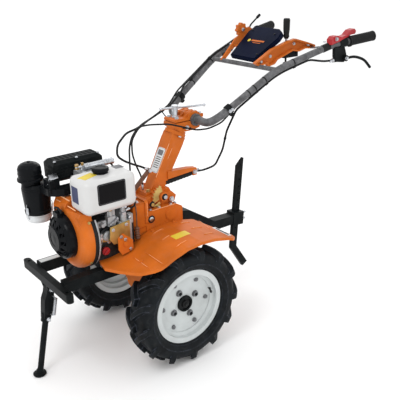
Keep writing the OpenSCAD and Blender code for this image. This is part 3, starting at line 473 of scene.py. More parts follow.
def plate(outline, place, across, upwards, thick, bevel=0.4):
    """A flat outline given thickness along across x upwards, with both rims bevelled. Millimetres, but
    for the outline and its place."""
    across, upwards = unit(across), unit(upwards)
    normal = np.cross(across, upwards)
    following = np.roll(outline, -1, 0)
    if np.sum(outline[:, 0] * following[:, 1] - outline[:, 1] * following[:, 0]) <= 0:
        outline = outline[::-1]
    bevel, thick = bevel / 1000, thick / 1000
    small = inset(outline, bevel)
    rings = [(small, 0), (outline, bevel), (outline, thick - bevel), (small, thick)]
    return skin(np.array([np.asarray(place) + o[:, :1] * across + o[:, 1:] * upwards + h * normal
                          for o, h in rings]))


def plates(rows):
    """Many plates with round corners: rows of (width, height, corner, (x, y, z), across, upwards,
    thickness)."""
    return [plate(box_outline(*size), at(*place), across, upwards, thick)
            for *size, place, across, upwards, thick in rows]


print("a plate's outline has", len(box_outline(20, 10, 2)), "points")


# %% [markdown]
# Springs and bars are pipes whose path is worked out for them. Many parts come as a left and a right
# one, and the right one is the left one's numbers mirrored. That turns its faces inside out, and make()
# turns them outwards again by the sign of their volume.
# %% Mirror images, springs and bars
def mirrored(parts):
    """The same skins on the other side of the machine."""
    return [(verts * np.array([1, -1, 1]), faces) for verts, faces in parts]


def coil(start, end, radius, wire, turns, steps=10):
    """A wire of one radius wound round the line from start to end at another: turns full turns, ends
    closed up."""
    start, end = np.asarray(start, float), np.asarray(end, float)
    share = np.linspace(0, 1, int(turns * steps) + 1)[:, None]
    first, second = square_to(end - start)
    turn = 2 * math.pi * turns * share
    rise = np.clip((share - 0.06) / 0.88, 0, 1) + 0.04 * (share - 0.5)
    round_it = radius / 1000 * (np.cos(turn) * first + np.sin(turn) * second)
    return swept(start + rise * (end - start) + round_it, circle(wire, 7))


def rod(points, radius, cut=6.0, count=10):
    """A round bar along points in the machine's millimetres, with its corners bent and both ends
    chamfered."""
    path = rounded(places(points), cut / 1000)
    first_tip = path[0] + unit(path[1] - path[0]) * radius / 3000
    last_tip = path[-1] + unit(path[-2] - path[-1]) * radius / 3000
    path = np.vstack([path[:1], [first_tip], path[1:-1], [last_tip], path[-1:]])
    return swept(path, circle(radius, count), [0.7, *[1.0] * (len(path) - 2), 0.7])


print("a spring of two turns has", len(coil((0, 0, 0), TOP, 5, 1, 2)[0]), "points")

# %% [markdown]
# A bolt is a washer, a hexagon head with a chamfered top, and sometimes a thread end that stands out
# of it. Its shank is inside what it holds, so it isn't made. Neighbouring bolts of one finish and
# one body are one object.
# %% Bolts and nuts
def bolt(place, axis, size, stud=0.0):
    """A hexagon head for a thread of that size: 0.95 of the thread to its corner, 0.62 high, on a
    washer."""
    base = 0.18 * size
    corner, top = 0.95 * size, base + 0.62 * size
    washer = [(1.05 * size, -0.3), (1.1 * size, 0.25), (1.05 * size, base), (0.5 * size, base)]
    head = [(corner, base - 0.2), (corner, top - 0.09 * size), (0.86 * corner, top), (0.45 * corner, top)]
    parts = [turned(washer, place, axis, 24), turned(head, place, axis, 24, hex_shape(24))]
    if stud:
        thread = [(0.5 * size, base), (0.5 * size, top + stud - 0.6), (0.4 * size, top + stud)]
        parts.append(turned(thread, place, axis, 14))
    return parts


def bolts(rows, size, stud=0.0):
    """Many bolts: rows of (x, y, z, axis) in the machine's millimetres."""
    return [p for x, y, z, axis in rows for p in bolt(at(x, y, z), axis, size, stud)]


def ring_of_bolts(x, y, z, radius, count, axis, first=0.0):
    """Rows for bolts on a circle square to X or Y, starting at an angle in degrees."""
    angle = np.radians(first + 360 / count * np.arange(count))
    a, b = radius * np.cos(angle), radius * np.sin(angle)
    if abs(axis[0]) > 0.5:
        return [(x, y + p, z + q, axis) for p, q in zip(a, b)]
    return [(x + p, y, z + q, axis) for p, q in zip(a, b)]


print("a bolt is", len(bolt(at(0, 0, 0), TOP, 8)), "skins")

# %% [markdown]
# ## Tyres
# A traction tyre is a round carcass with two rows of slanted lugs that meet near the middle like an
# arrow. Two outlines are given from the crown to the bead, one of the carcass and one of the lugs'
# tops, with a share that says how far each row of points rises from one to the other. The grid is
# slanted round the wheel, so the lugs' straight walls lie along its lines and need few faces. Separate
# lugs joined by a Boolean would leave seams. Here the whole tyre is one closed skin.
# %% Tyre surface
LUGS = 13
# carcass (across, radius), lug top (across, radius), share on the lug's own half, on the other half
SECTION = np.array([
    (0, 212, 0, 229.8, 1, 1), (2.5, 212, 2.5, 229.8, 1, 1), (5.5, 212, 3.8, 229.6, 1, 0),
    (12, 211.8, 12, 229.7, 1, 0), (22, 211, 22, 229, 1, 0), (32, 209, 32, 227.6, 1, 0),
    (40, 206, 41, 225, 1, 0), (45, 202, 47.5, 221.5, 1, 0), (48.5, 198, 52, 216.5, 1, 0),
    (50.6, 194, 54.6, 210, 1, 0), (52, 190, 55.6, 202, 1, 0), (52.8, 186, 55.8, 194, 1, 0),
    (53.3, 182, 54.6, 188, 1, 0), *((a, r, a, r, 0, 0) for a, r in (
        (53.4, 178.5), (53.3, 172), (54.2, 170.5), (54.0, 168.5), (52.4, 167), (50, 159), (46, 152.5),
        (43.6, 151), (42.6, 148.6), (39, 145.8), (35.4, 144.6), (34.6, 142), (34.4, 128.2)))])
LUG_TOP, LUG_FOOT = 0.054, 0.073


def tyre_rings(side):
    """Ring i goes round the section at one turn of the wheel. Radius and width mix the carcass and lug
    outlines by the row's share times the turn's share; the turn lags by 0.24 radians at the shoulder."""
    pitch = 2 * math.pi / LUGS
    near = np.array([-LUG_FOOT, -LUG_TOP, -LUG_TOP * 0.4, LUG_TOP * 0.4, LUG_TOP, LUG_FOOT])
    cell = np.concatenate([near, [pitch / 4], near + pitch / 2, [3 * pitch / 4]])
    own = np.array([0, 1, 1, 1, 1, 0, 0] + [0] * 7)
    turn = (np.arange(LUGS)[:, None] * pitch + cell).ravel()
    left_row, right_row = np.tile(own, LUGS), np.tile(np.roll(own, 7), LUGS)
    rows = np.vstack([SECTION[::-1], SECTION[1:]])
    sign = np.where(np.arange(len(rows)) < len(SECTION), 1.0, -1.0)
    for_left = np.where(sign > 0, rows[:, 4], rows[:, 5])
    for_right = np.where(sign > 0, rows[:, 5], rows[:, 4])
    share = np.maximum(left_row[:, None] * for_left, right_row[:, None] * for_right)
    across = sign * (rows[:, 0] + share * (rows[:, 2] - rows[:, 0]))
    radius = rows[:, 1] + share * (rows[:, 3] - rows[:, 1])
    angle = turn[:, None] - 0.24 * np.minimum(rows[:, 0], 50) / 50
    centre = at(0, side * TRACK * 1000, TYRE_R * 1000)
    return centre + np.stack([radius * np.sin(angle), across, radius * np.cos(angle)], -1) / 1000


for side, word in WHEELS:
    make(f"tyre_lugged_{word}", [skin(tyre_rings(side), looped=True)], "tyre_rubber", f"wheel_{word}",
         replaces=[f"tyre_{word}"], sharp=34)

# %% [markdown]
# A pressed steel wheel is bolted to its hub by four nuts near the middle, and six more bolts hold
# its disc to the rim. The inner tube's valve comes through near the edge.
# %% Wheel nuts, rim bolts, valves
HUB_NUT_R, RIM_BOLT_R, VALVE_R = 54, 97, 116
HUB_NUTS, RIM_BOLTS, VALVE_TURN = np.radians((-25, -115, -205, -295)), np.radians(4 + 60 * np.arange(6)), 166
AXLE_Z = 230
VALVE = [(6.5, -4), (6.5, 0), (4.4, 4), (3.6, 14), (3.6, 22), (4.4, 22), (4.4, 30), (3.4, 31)]


def on_disc(side, radius, angle, lift):
    """A place on a wheel's disc, lifted out of it."""
    return radius * math.cos(angle), side * (TRACK * 1000 + 3 + lift), AXLE_Z + radius * math.sin(angle)


for side, word in WHEELS:
    out = (0, side, 0)
    parts = bolts([(*on_disc(side, HUB_NUT_R, a, 0), out) for a in HUB_NUTS], 12)
    parts += bolts([(*on_disc(side, RIM_BOLT_R, a, 1.4), out) for a in RIM_BOLTS], 8.5, stud=3)
    make(f"wheel_nuts_{word}", parts, "dull_steel", f"wheel_{word}")
    turn = math.radians(VALVE_TURN)
    hub = (0, side * (TRACK * 1000 + 5), AXLE_Z)
    lean = (-0.5 * math.cos(turn), side, -0.5 * math.sin(turn))
    parts = spun([(VALVE, on_disc(side, VALVE_R, turn, 8), lean, 16),
                  ([(23, -3), (23, 1.2), (15, 1.6)], hub, out, 28),
                  ([(16, 0), (16, 9), (14, 11), (8, 11)], hub, out, 24, "hexagon"),
                  ([(8, 8), (8, 15), (6.5, 16.5)], hub, out, 18)])
    make(f"valve_and_axle_nut_{word}", parts, "black_rubber", f"wheel_{word}")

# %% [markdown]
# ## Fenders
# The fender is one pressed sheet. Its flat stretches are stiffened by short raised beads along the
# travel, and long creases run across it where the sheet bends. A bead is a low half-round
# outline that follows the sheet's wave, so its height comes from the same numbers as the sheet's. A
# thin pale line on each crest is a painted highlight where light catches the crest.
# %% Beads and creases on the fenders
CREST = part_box("fender_left")[1].z * 1000
WAVE = np.array([(-213, -39), (-160, -19), (-100, -5), (-40, 0), (20, -4), (70, -19), (110, -39), (150, -55),
                 (200, -64), (263, -65)], float)


def on_fender(x, y, lift=0.0):
    """Places on the fender's top, its height read off the wave between its corners. Millimetres in,
    metres out."""
    x, y = np.broadcast_arrays(np.asarray(x, float), np.asarray(y, float))
    return places(np.stack([x, y, CREST + np.interp(x, WAVE[:, 0], WAVE[:, 1]) + lift], -1))


def half_round(width, height, foot, count):
    """A half circle's outline over a foot that is a share of its height."""
    angle = around(count)
    return np.stack([np.maximum(np.sin(angle), -foot) * height, np.cos(angle) * width / 2], -1) / 1000


def bead(line, width, height, ends=(0, 1), count=13, lift=0.0):
    """A low half-round bead along a line on the sheet, tapered to nothing at both ends."""
    (x0, y0), (x1, y1) = line
    along = np.linspace(*ends, count)
    share = np.linspace(0, 1, count)
    path = on_fender(x0 + (x1 - x0) * along, y0 + (y1 - y0) * along, lift)
    taper = np.clip(np.minimum(share, 1 - share) * 9 + 0.12, 0, 1)
    return swept(path, half_round(width, height, 0.35, 12), taper)


BEADS = [((50, 122), (-8, 122)), ((52, 183), (6, 184)), ((52, 264), (-16, 258)), ((-74, 122), (-126, 122)),
         ((-82, 184), (-136, 184)), ((-84, 256), (-138, 250))]
CREASES = [((114, 176), (118, 304)), ((-186, 96), (-150, 216)), ((152, 150), (156, 268))]
parts = [bead(line, 7.0, 2.2) for line in BEADS] + [bead(line, 5.0, 1.4) for line in CREASES]
make("fender_beads_left", parts, "orange_paint")
# Pale lines along the crests of the beads and creases: painted highlights.
crest_highlights = [bead(line, 1.5, 0.6, (0.12, 0.88), 9, high) for lines, high in ((BEADS, 1.95), (CREASES, 1.15))
          for line in lines]
make("fender_crest_highlights", crest_highlights + mirrored(crest_highlights), "highlight_orange")
make("fender_beads_right", mirrored(parts), "orange_paint")


# %% [markdown]
# The fender's labels are thin strips that follow the same wave. They could be painted in the material,
# but a strip has a sharp edge at any distance. They carry no words.
# %% Fender labels and bolts
def sticker(x0, x1, y0, y1, skew=0.0, thick=0.5, count=14):
    """A thin label that follows the fender's wave: a strip of rings across it, each a flat four-sided
    loop."""
    x = np.linspace(x0, x1, count)
    slide = np.linspace(0, skew, count)
    edges = ((y0, 0.1), (y1, 0.1), (y1, thick), (y0, thick))
    return skin(np.stack([on_fender(x, y + slide, lift) for y, lift in edges], 1))


make("fender_sticker", [sticker(14, -52, 188, 224)], "yellow_label")
make("fender_slot_label", [sticker(-206, -180, 176, 272, 10)], "white_label")
# The black strip is painted shade standing for the slot's opening in the fender.
make("fender_slot", [sticker(-200, -188, 188, 262, 10, 1.0)], "black_label")
FENDER_BOLTS = ((-70, 100, 487, TOP), (30, 100, 481, TOP), (150, 203, 434.5, (0.3, 0, 1)))
rows = [(x, s * y, z, way) for x, y, z, way in FENDER_BOLTS for s in SIDES]
make("fender_bolts", bolts(rows, 7), "orange_paint")

# %% [markdown]
# ## Fuel tank
# The tank is blow-moulded, so every edge is a soft roll. A box under a Subdivision Surface would be
# soft as well, but how soft would be a guess. Here the roll's radius is a number: the rings are one
# rounded rectangle that shrinks near the top and bottom along a quarter circle.
# %% Tank
tank_low, tank_high = (np.array(corner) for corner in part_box("fuel_tank"))
tank_size = (tank_high - tank_low) * 1000
TANK_ROLL = 19.0


def rounded_tank(size, middle, corner=26.0, steps=9):
    """Rings of a rounded rectangle, drawn in by roll * (1 - sin) as they rise through roll * (1 - cos)
    at each end."""
    turn = np.linspace(0, math.pi / 2, steps)
    end_rise, end_draw = TANK_ROLL * (1 - np.cos(turn)), TANK_ROLL * (1 - np.sin(turn))
    rise = np.concatenate([end_rise, [size[2] * 0.3, size[2] * 0.7], size[2] - end_rise[::-1]])
    draw = np.concatenate([end_draw, [0, 0], end_draw[::-1]])
    outline = box_outline(size[0] - 2, size[1] - 2, corner, 8) * 1000
    rings = []
    for h, d in zip(rise, draw):
        flat = inset(outline, d)
        rings.append(np.column_stack([flat, np.full(len(flat), h - size[2] / 2)]) / 1000 + middle)
    return skin(np.array(rings))


make("tank_shell", [rounded_tank(tank_size, (tank_low + tank_high) / 2)], "white_paint",
     replaces=["fuel_tank"], sharp=50)

# %% [markdown]
# A blank black plate in a thin frame stands on the tank's left side, and plain labels on its front and
# on top. The one that bends down over the nose is a strip of rings that follow the roll.
# %% Tank plate and labels
face = np.array([AXLE_X + 0.208, tank_high[1] - 0.0011, 0.688])
make("tank_plate", [plate(box_outline(108, 74, 7), face, REAR, TOP, 1.4)], "black_label")


def closed(outline):
    """An outline with its first point again at its end."""
    return np.vstack([outline, outline[:1]])


edge_path = np.array([face + (-x, 0.0014, z) for x, z in closed(box_outline(101, 67, 5))])
make("tank_plate_frame", [swept(edge_path, circle(0.45, 6))], "grey_label")
nose = np.array([tank_high[0] - 0.0011, 0.062, 0.681])
make("tank_side_label", [plate(box_outline(44, 58, 2), nose, LEFT, TOP, 0.8)], "blue_label")


def tank_top(x, y, lift):
    """A place on the tank's top in metres: level, then down the nose's quarter circle by
    roll * (1 - cos)."""
    roll = TANK_ROLL / 1000
    over = np.clip((x - (tank_high[0] - 0.001 - roll)) / roll, 0, 1)
    return np.stack([x, y, tank_high[2] - roll * (1 - np.sqrt(1 - over**2)) + lift], -1)


share = np.linspace(0, 1, 24)
middle_x, middle_y = AXLE_X + (229 + 60 * share) / 1000, (60 + 22 * share) / 1000
rings = np.stack([tank_top(middle_x - 0.006 * s, middle_y + 0.017 * s, h)
                  for s, h in ((1, -0.0012), (-1, -0.0012), (-1, 0.0006), (1, 0.0006))], 1)
make("tank_top_label", [skin(rings)], "yellow_label")
make("tank_rear_label", plates([(34, 36, 2, (128, 46, 737.2), FRONT, LEFT, 1.2)]), "grey_label")

# %% [markdown]
# The cap is turned, with a grip ring of flutes. A flute is a dip in the radius round the ring, so
# nothing has to be cut. Two steel stays carry the tank.
# %% Tank cap and stays
cap_low, cap_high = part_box("fuel_cap")
cap_at = np.array([(cap_low.x + cap_high.x) / 2, (cap_low.y + cap_high.y) / 2, cap_low.z])


def fluted(count, flutes, depth, power):
    """A circle's multiplier with flutes: one less depth times a raised cosine to a power."""
    return 1 - depth * (0.5 + 0.5 * np.cos(around(count) * flutes)) ** power


CAP_FOOT = [(26, 0), (26, 5), (23, 6), (23, 7.5), (28.6, 8), (29.8, 9.2), (29.8, 10)]
CAP_TOP = [(29.6, 7.8), (29.9, 9), (29.4, 16), (28.4, 18.4), (26, 19.8), (18, 19.9), (16.5, 18.6), (6, 18.6)]
parts = [turned(CAP_FOOT, cap_at, TOP, 144), turned(CAP_TOP, cap_at, TOP, 144, fluted(144, 24, 0.035, 3))]
make("tank_cap_ribbed", parts, "black_plastic", replaces=["fuel_cap"])
parts = [plate(box_outline(16, 26, 3), at(x, 30, 606), FRONT, TOP, 60, 0.5) for x in (136, 276)]
parts += bolts([(x, 91, 604, LEFT) for x in (136, 276)], 7)
make("tank_stays", parts, "bright_steel")

# %% [markdown]
# ## Engine
# The engine is a heap of small parts on a few big castings. The frame holds the castings. Here come
# the bolts that hold them, the pressed louvres of the muffler's guard, clips, pipes, springs and unions.
# Bolts go in rows of a place and the way their heads face.
# %% Engine bolts
CRANK_Z = 516
parts = []
for a in np.radians((34, -41, -90, -139, 146)):
    way = np.array([0, math.cos(a), math.sin(a)])
    parts += bolt(at(286, 0, CRANK_Z) + 0.1256 * way, way, 5)
make("cowl_bolts", parts, "zinc_plate")
parts = bolts([(x, y, 721, TOP) for x in (140, 226) for y in (-66, -14)], 8)
parts += bolts(ring_of_bolts(214, 92, 514, 25, 3, LEFT, 20), 6)
parts += bolts(ring_of_bolts(183, -107, 503, 47, 6, RIGHT, 30), 7)
parts += bolts([(x, s * 97, 412, TOP) for x in (148, 228) for s in SIDES], 10, stud=4)
parts += bolts([(*place, LEFT) for place in ((160, 122.6, 494), (176, 122.6, 508), (141, 122.6, 452),
                                             (150, 118.3, 548), (204, 118.3, 541), (240, 95.4, 512))], 6)
parts += bolts([(x, s * 112.1, 380, (0, s, 0)) for x in (60, 90) for s in SIDES], 10)
make("engine_bolts", parts, "bright_steel")

# %% [markdown]
# Small things stand on the cylinder head and on the pump beside it: brass valves, bands, unions, two
# thin springs and a steel pipe. Two rubber hoses carry the fuel, and plain castings fill the open
# side. All are turned parts, plates, bars or coils, so a row of numbers is enough for each.
# %% Fittings on the cylinder head, fuel line and pump unions
TAP = [(7.4, -1), (7.4, 4), (6.2, 5), (6.2, 9), (7.6, 10), (7.6, 15), (5, 17.5)]
parts = spun([(TAP, (240, -42, 731.5), TOP, 20),
              ([(5.6, 0), (5.6, 8)], (218, -42, 742), TOP, 18, "hexagon"),
              ([(7.2, 0), (7.2, 5), (5.2, 6), (5.2, 12)], (199, 96, 606), TOP, 18)])
make("brass_valves", parts, "brass")
parts = spun([*((band(11.6, 0.4, 3), (x, -42, 732.6), FRONT, 28) for x in (98, 120, 196, 210)),
              ([(13.8, 0), (13.8, 9), (12.4, 10)], (151, 99, 582), TOP, 24, "hexagon"),
              ([(8.6, 0), (8.6, 9), (6, 10), (5, 16)], (151, 99, 605.5), TOP, 24, "hexagon")])
parts.append(rod([(151, 99, 606), (151, 98, 611.5), (158, 70, 612.5), (172, 30, 612.5), (180, 4, 611)], 2.6))
parts.append(coil(at(178, 110, 574), at(212, 112, 561), 4.2, 0.9, 11))
parts.append(coil(at(232, 97, 520), at(252, 97, 470), 3.6, 0.8, 13))
parts += plates([(10, 44, 3, (128, 103, 552), FRONT, TOP, 3)])
parts += spun([([(6, 0), (6, 5), (4, 6)], (128, 105, 566), LEFT, 18),
               ([(5, 0), (5, 7), (3.6, 8)], (178, 100, 574), LEFT, 16)])
parts += plates([(52, 30, 2, (312, -84, 707), (0.35, 1, 0), (-1, 0.35, 0.25), 3.2),
                 (30, 22, 2, (332, -84, 698), (0.35, 1, 0), (-0.35, 0.1, 1), 3.0)])
make("head_and_pump_fittings", parts, "bright_steel")
SUPPLY = [(238, 74, 619), (238, 76, 606), (226, 88, 596), (208, 95, 606), (199, 96, 616), (199, 96, 609)]
RETURN = [(151, 99, 616), (146, 96, 617), (118, 70, 612), (96, 40, 630), (94, -20, 700), (112, -40, 733)]
make("fuel_hoses", [rod(SUPPLY, 4.3, 8), rod(RETURN, 3.4, 16)], "black_rubber")
parts = plates([(182, 142, 17, (256, 0, 490), LEFT, TOP, 6), (44, 14, 4, (226, 92, 405), FRONT, TOP, 16),
                (30, 40, 5, (196, 84, 590), REAR, TOP, 14)])
parts += spun([([(19, 0), (19, 6), (15, 9), (9, 10)], (214, 92, 514), LEFT, 28),
               ([(10, 0), (10, 12), (7, 16), (7, 22)], (238, 92, 566), LEFT, 20)])
parts += plates([(36, 22, 5, (236, 92, 566), REAR, TOP, 8)])
make("engine_castings", parts, "cast_alloy")

# %% [markdown]
# The oil filler's cap is moulded with a bar to turn it by. Its fluted rim is a turned profile whose
# radius dips at each flute.
# %% Oil cap
cap_place = at(227, 84.2, 461)
parts = [turned([(10, 0), (10, 9)], cap_place, LEFT, 24),
         turned([(14.6, 8), (15, 9), (15, 17), (13.6, 18.4)], cap_place, LEFT, 96, fluted(96, 16, 0.06, 4)),
         plate(box_outline(25, 6, 2.9), cap_place + (0, 0.0175, 0), (-1, 0, 0.8), (0.8, 0, 1), 6, 1.2)]
make("oil_filler_cap", parts, "red_plastic", replaces=["oil_cap"])

# %% [markdown]
# ## Muffler, air cleaner, starter
# The guard over the muffler is pressed with rows of louvres, each a small raised hood. A bump in the
# material would look flat from the side, so each hood is a short pipe with half a circle as outline.
# %% Louvres
def louvre(x, y, z, along, out, length=12.0):
    """A hood: an outline that is a half circle, carried along its length, with both ends drawn in."""
    path = at(x, y, z) + np.linspace(-0.5, 0.5, 7)[:, None] * length / 1000 * np.array(along)
    return swept(path, half_round(5.0, 1.6, 0.3, 10), [0.35, 0.8, 1, 1, 1, 0.8, 0.35], start=out)


parts = []
for x in np.arange(124, 290, 18.0):
    parts += [louvre(x, -101.9, z, FRONT, LEFT) for z in (692, 703, 714, 725)]
    parts += [louvre(x, y, 752, FRONT, TOP) for y in (-160, -148, -136, -124)]
parts += [louvre(302, y, z, LEFT, FRONT, 10) for y in (-160, -144, -128, -114) for z in (696, 712, 728)]
make("muffler_louvres", parts, "black_paint")
make("muffler_screws", bolts([(x, -106, 752, TOP) for x in (118, 206, 292)], 5), "bright_steel")

# %% [markdown]
# The air cleaner's bowl hangs on three spring clips, each a bent wire over a pad. The wire's points
# are given once, by radius and height, and turned to three places. Raised bands divide the bowl and
# the dome.
# %% Clips and bands on the air cleaner
cleaner_low, cleaner_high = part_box("air_cleaner_bowl")
cleaner_x, cleaner_y = (cleaner_low.x + cleaner_high.x) / 2, (cleaner_low.y + cleaner_high.y) / 2
parts = []
for angle in np.radians((20, 140, 260)):
    out = np.array([math.cos(angle), math.sin(angle), 0])
    base = np.array([cleaner_x, cleaner_y, 0])
    wire = [base + out * r + (0, 0, z / 1000) for r, z in
            ((0.0470, 545), (0.0505, 550), (0.0515, 562), (0.0515, 586), (0.0540, 594), (0.0525, 604))]
    parts.append(swept(rounded(wire, 0.004), circle(1.3, 8)))
    pad = base + out * 0.0516 + (0, 0, 0.578)
    parts.append(plate(box_outline(13, 26, 3), pad, np.cross(TOP, out), TOP, 1.6))
make("cleaner_clips", parts, "bright_steel")
dome_x, dome_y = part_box("air_cleaner")[1].x - 0.047, cleaner_y - 0.006
parts = [turned(profile, np.array(place), TOP, count) for profile, place, count in (
    ([(47.4, 0), (48.2, 1.5), (48.2, 5), (47.4, 6.5)], (cleaner_x, cleaner_y, 0.5665), 64),
    ([(51.5, 0), (52.0, 1.2), (51.6, 2.4)], (cleaner_x, cleaner_y, 0.655), 64),
    ([(42.4, 0), (42.9, 1), (42.9, 4), (42.4, 5)], (dome_x, dome_y, 0.7085), 64),
    ([(5, 0), (5, 3), (3.4, 4.2)], (dome_x, dome_y, 0.7505), 24))]
make("cleaner_bands", parts, "black_plastic")


# %% [markdown]
# The starter's cover has a ring of leaning vanes over its air slots and a domed disc in the middle.
# A vane is a bar whose path follows the cover's slope, which a straight copy of a block wouldn't. A
# low grip for the cord lies on top of the cowl.
# %% Starter
def vane(turn, inner=43.0, outer=68.0, sweep=26.0):
    """A curved rib on the starter's face: its angle grows with its radius, so it leans like a fan's
    blade."""
    share = np.linspace(0, 1, 9)
    radius = inner + (outer - inner) * share
    angle = np.radians(turn + sweep * share**1.4)
    depth = np.interp(radius, [24, 40, 67, 76], [374, 373.6, 359.2, 351.4])
    path = places(np.stack([depth, radius * np.cos(angle), CRANK_Z + radius * np.sin(angle)], -1))
    return swept(path, box_outline(2.6, 3.4, 0.8, 3), start=FRONT)


parts = [vane(a) for a in np.arange(15, 375, 30)]
parts += bolts(ring_of_bolts(353.4, 0, CRANK_Z, 73, 4, FRONT, 45), 5)
DISC = [(24, 0), (24, 1.2), (21, 3.0), (16, 4.2), (9, 4.9), (3, 5.1)]
parts += spun([(DISC, (368.4, 0, CRANK_Z), FRONT, 40),
               ([(43, 372.4), (43, 374.0), (40.5, 374.2), (40.5, 372.8)], (0, 0, CRANK_Z), FRONT, 48),
               ([(8, 0), (8, 5), (5, 7)], (340, -14, 607), TOP, 18)])
make("starter_vanes", parts, "black_plastic")
PULL = [(340, -38, 606), (340, -36, 615), (340, -14, 620), (340, 8, 615), (340, 10, 606)]
make("starter_pull", [rod(PULL, 4.0, 5, 14)], "black_rubber")

# %% [markdown]
# Two pressed ledges on top of the cowl are thin rods in a pale orange, a painted highlight where light
# catches them. At the cowl's rear edge a rubber band and a cast flange are bent round the drum on each side.
# %% Edges of the cowl
# The pale orange of these rods is a painted highlight along the ledges.
parts = [rod([(303, y, 641.5) for y in (-72, -40, 6)], 2.2)]
parts.append(rod([(310, y, 624) for y in (-80, -30, 60)], 2.0))
make("cowl_ledge_highlights", parts, "highlight_orange")
BAND_TURNS = np.radians(np.linspace(-62, 36, 40))
for name, x, radius, width, thick, look in (("cowl_band", 273.0, 127.2, 13.0, 3.0, "black_rubber"),
                                            ("cowl_flange", 263.4, 124.0, 2.4, 9.0, "cast_alloy")):
    path = places([(x, radius * math.cos(a), CRANK_Z + radius * math.sin(a)) for a in BAND_TURNS])
    strip = [swept(path, box_outline(width, thick, thick / 2 - 0.1, 4), start=FRONT)]
    make(name, strip + mirrored(strip), look)

# %% [markdown]
# ## Gearbox and steering column
# The gearbox and the column under the handlebar are orange castings. The shift lever leaves from the
# top of the clutch bell, and a toothed quadrant locks the column. Steel covers, plugs and
# bolts break up the plain orange. They stand on flat faces, so a place and a direction say it all.
# %% Gearbox fittings
PLUG_RIM = [(14.2, -0.5), (14.6, 0.6), (13.6, 1.8), (10, 1.8), (9.6, 0.4)]
PLUG_FACE = [(9.2, 0), (9.2, 1.8), (7.8, 2.9), (2, 3.1)]
parts = spun([*((PLUG_RIM, (26, s * 90, 523), (0, s, 0), 28) for s in SIDES),
              ([(11.6, 0), (12, 1.4), (9, 4)], (8, 71, 571), LEFT, 28),
              ([(13, 0), (13, 2), (9, 5)], (-48, 72, 587), LEFT, 28)])
make("plug_rings", parts, "black_rubber")
parts = spun([(PLUG_FACE, (26, s * 90, 523), (0, s, 0), 28) for s in SIDES])
parts += bolts([(-48, 74, 587, LEFT), (-84, 66, 569, LEFT)], 9)
parts += bolts(ring_of_bolts(-40, -66, 581, 20, 3, RIGHT, 90), 6)
parts += bolts(ring_of_bolts(-66, -88, 520, 18, 3, RIGHT, 30), 6)
rows = [(x, s * y, z, TOP) for x, y, z in ((-72, 74, 553), (-20, 74, 553), (20, 74, 553), (72, 66, 594))
        for s in SIDES]
rows += [(-124, s * 36, z, REAR) for z in (436, 498) for s in SIDES] + [(-104, 56, 543.6, (-0.5, 0, 0.86))]
parts += bolts(rows, 7)
parts += bolts(ring_of_bolts(0, 96, AXLE_Z, 36, 6, LEFT) + ring_of_bolts(0, -96, AXLE_Z, 36, 6, RIGHT), 6)
parts += spun([([(7.5, 0), (7.5, 3), (5, 4)], (56, 30, 597), TOP, 28)])
make("gearbox_bolts", parts, "bright_steel")


def quadrant(inner=20.0, low=44.0, high=49.5, first=-22.0, last=78.0, teeth=7):
    """A toothed sector: the outer radius steps between low and high, the inner edge is a plain arc."""
    angle = np.radians(np.linspace(first, last, 4 * teeth))
    outer = np.where(np.arange(len(angle)) % 4 < 2, high, low)
    spoke = np.stack([-np.cos(angle), np.sin(angle)], -1)
    return np.concatenate([outer[:, None] * spoke, inner * spoke[::-1]]) / 1000


parts = bolts([(8, 72, 571, LEFT), (-6, 28, 607, TOP)], 8)
parts += spun([([(9.6, -1), (10.4, 0), (10.4, 5), (8, 6.5), (8, 9)], (9, -18, 602), TOP, 28, "hexagon")])
parts.append(plate(quadrant(), at(-48, 64.1, 587), REAR, TOP, 2.0, 0.2))
parts += plates([(30, 12, 3, (-18, 64.1, 560), (-1, 0, 0.5), (0.5, 0, 1), 3.0)])
make("quadrant_plate", parts, "zinc_plate")
parts = [rod([(-116, 84.6, 538), (-88, 84.6, 553), (33, 84.6, 553)], 1.5, 3),
         rod([(-118, 84.6, 346), (-118, 84.6, 534)], 1.5), rod([(36, 85, 594), (96, 85, 594)], 1.5),
         rod([(-40, 84.8, 545), (-40, 84.8, 470)], 1.2)]
make("case_edges", parts + mirrored(parts), "orange_paint")

# %% [markdown]
# The column's places are given along its own leaning axis: u forward, v to the left and h up it.
# Its front face leans back a little less than its axis, and so does the label on it. Worked out this
# way, nothing has to be turned into place afterwards.
# %% Column directions and label
COLUMN_UP = unit(np.array([-112.0, 0, 204]))
COLUMN_OUT = np.array([COLUMN_UP[2], 0, -COLUMN_UP[0]])
FACE_LEAN = 0.0195
FACE_UP = COLUMN_UP + FACE_LEAN * COLUMN_OUT
LABEL_H = 108


def column(u, v, h):
    """A place by the column's own directions, from its foot."""
    return at(-48, 0, 599) + (u * COLUMN_OUT + v * np.array(LEFT) + h * COLUMN_UP) / 1000


def column_line(u, v, spread, radius, shares):
    """A thin bar up the column, with its width growing by 6 and its depth by spread from end to end."""
    path = [column(u + spread * t, v + math.copysign(6, v) * t, 2 + 198 * t) for t in np.linspace(*shares, 5)]
    return swept(path, circle(radius, 8))


parts = [plate(box_outline(47, 98, 9), column(29.1, 0, LABEL_H), LEFT, FACE_UP, 0.7)]
make("column_label", parts, "white_label")
middle = column(29.85, 0, LABEL_H)
parts = [swept([middle + (0, x, 0) + z * FACE_UP for x, z in closed(box_outline(42, 93, 7))], circle(0.4, 6))]
for h in (138, 120, 112, 104, 96, 88, 80):
    foot = column(29.65 + FACE_LEAN * (h - LABEL_H), 0, h)
    parts.append(plate(box_outline(30, 20 if h == 138 else 2, 1.5), foot, LEFT, FACE_UP, 0.5))
make("column_label_fields", parts, "grey_label")

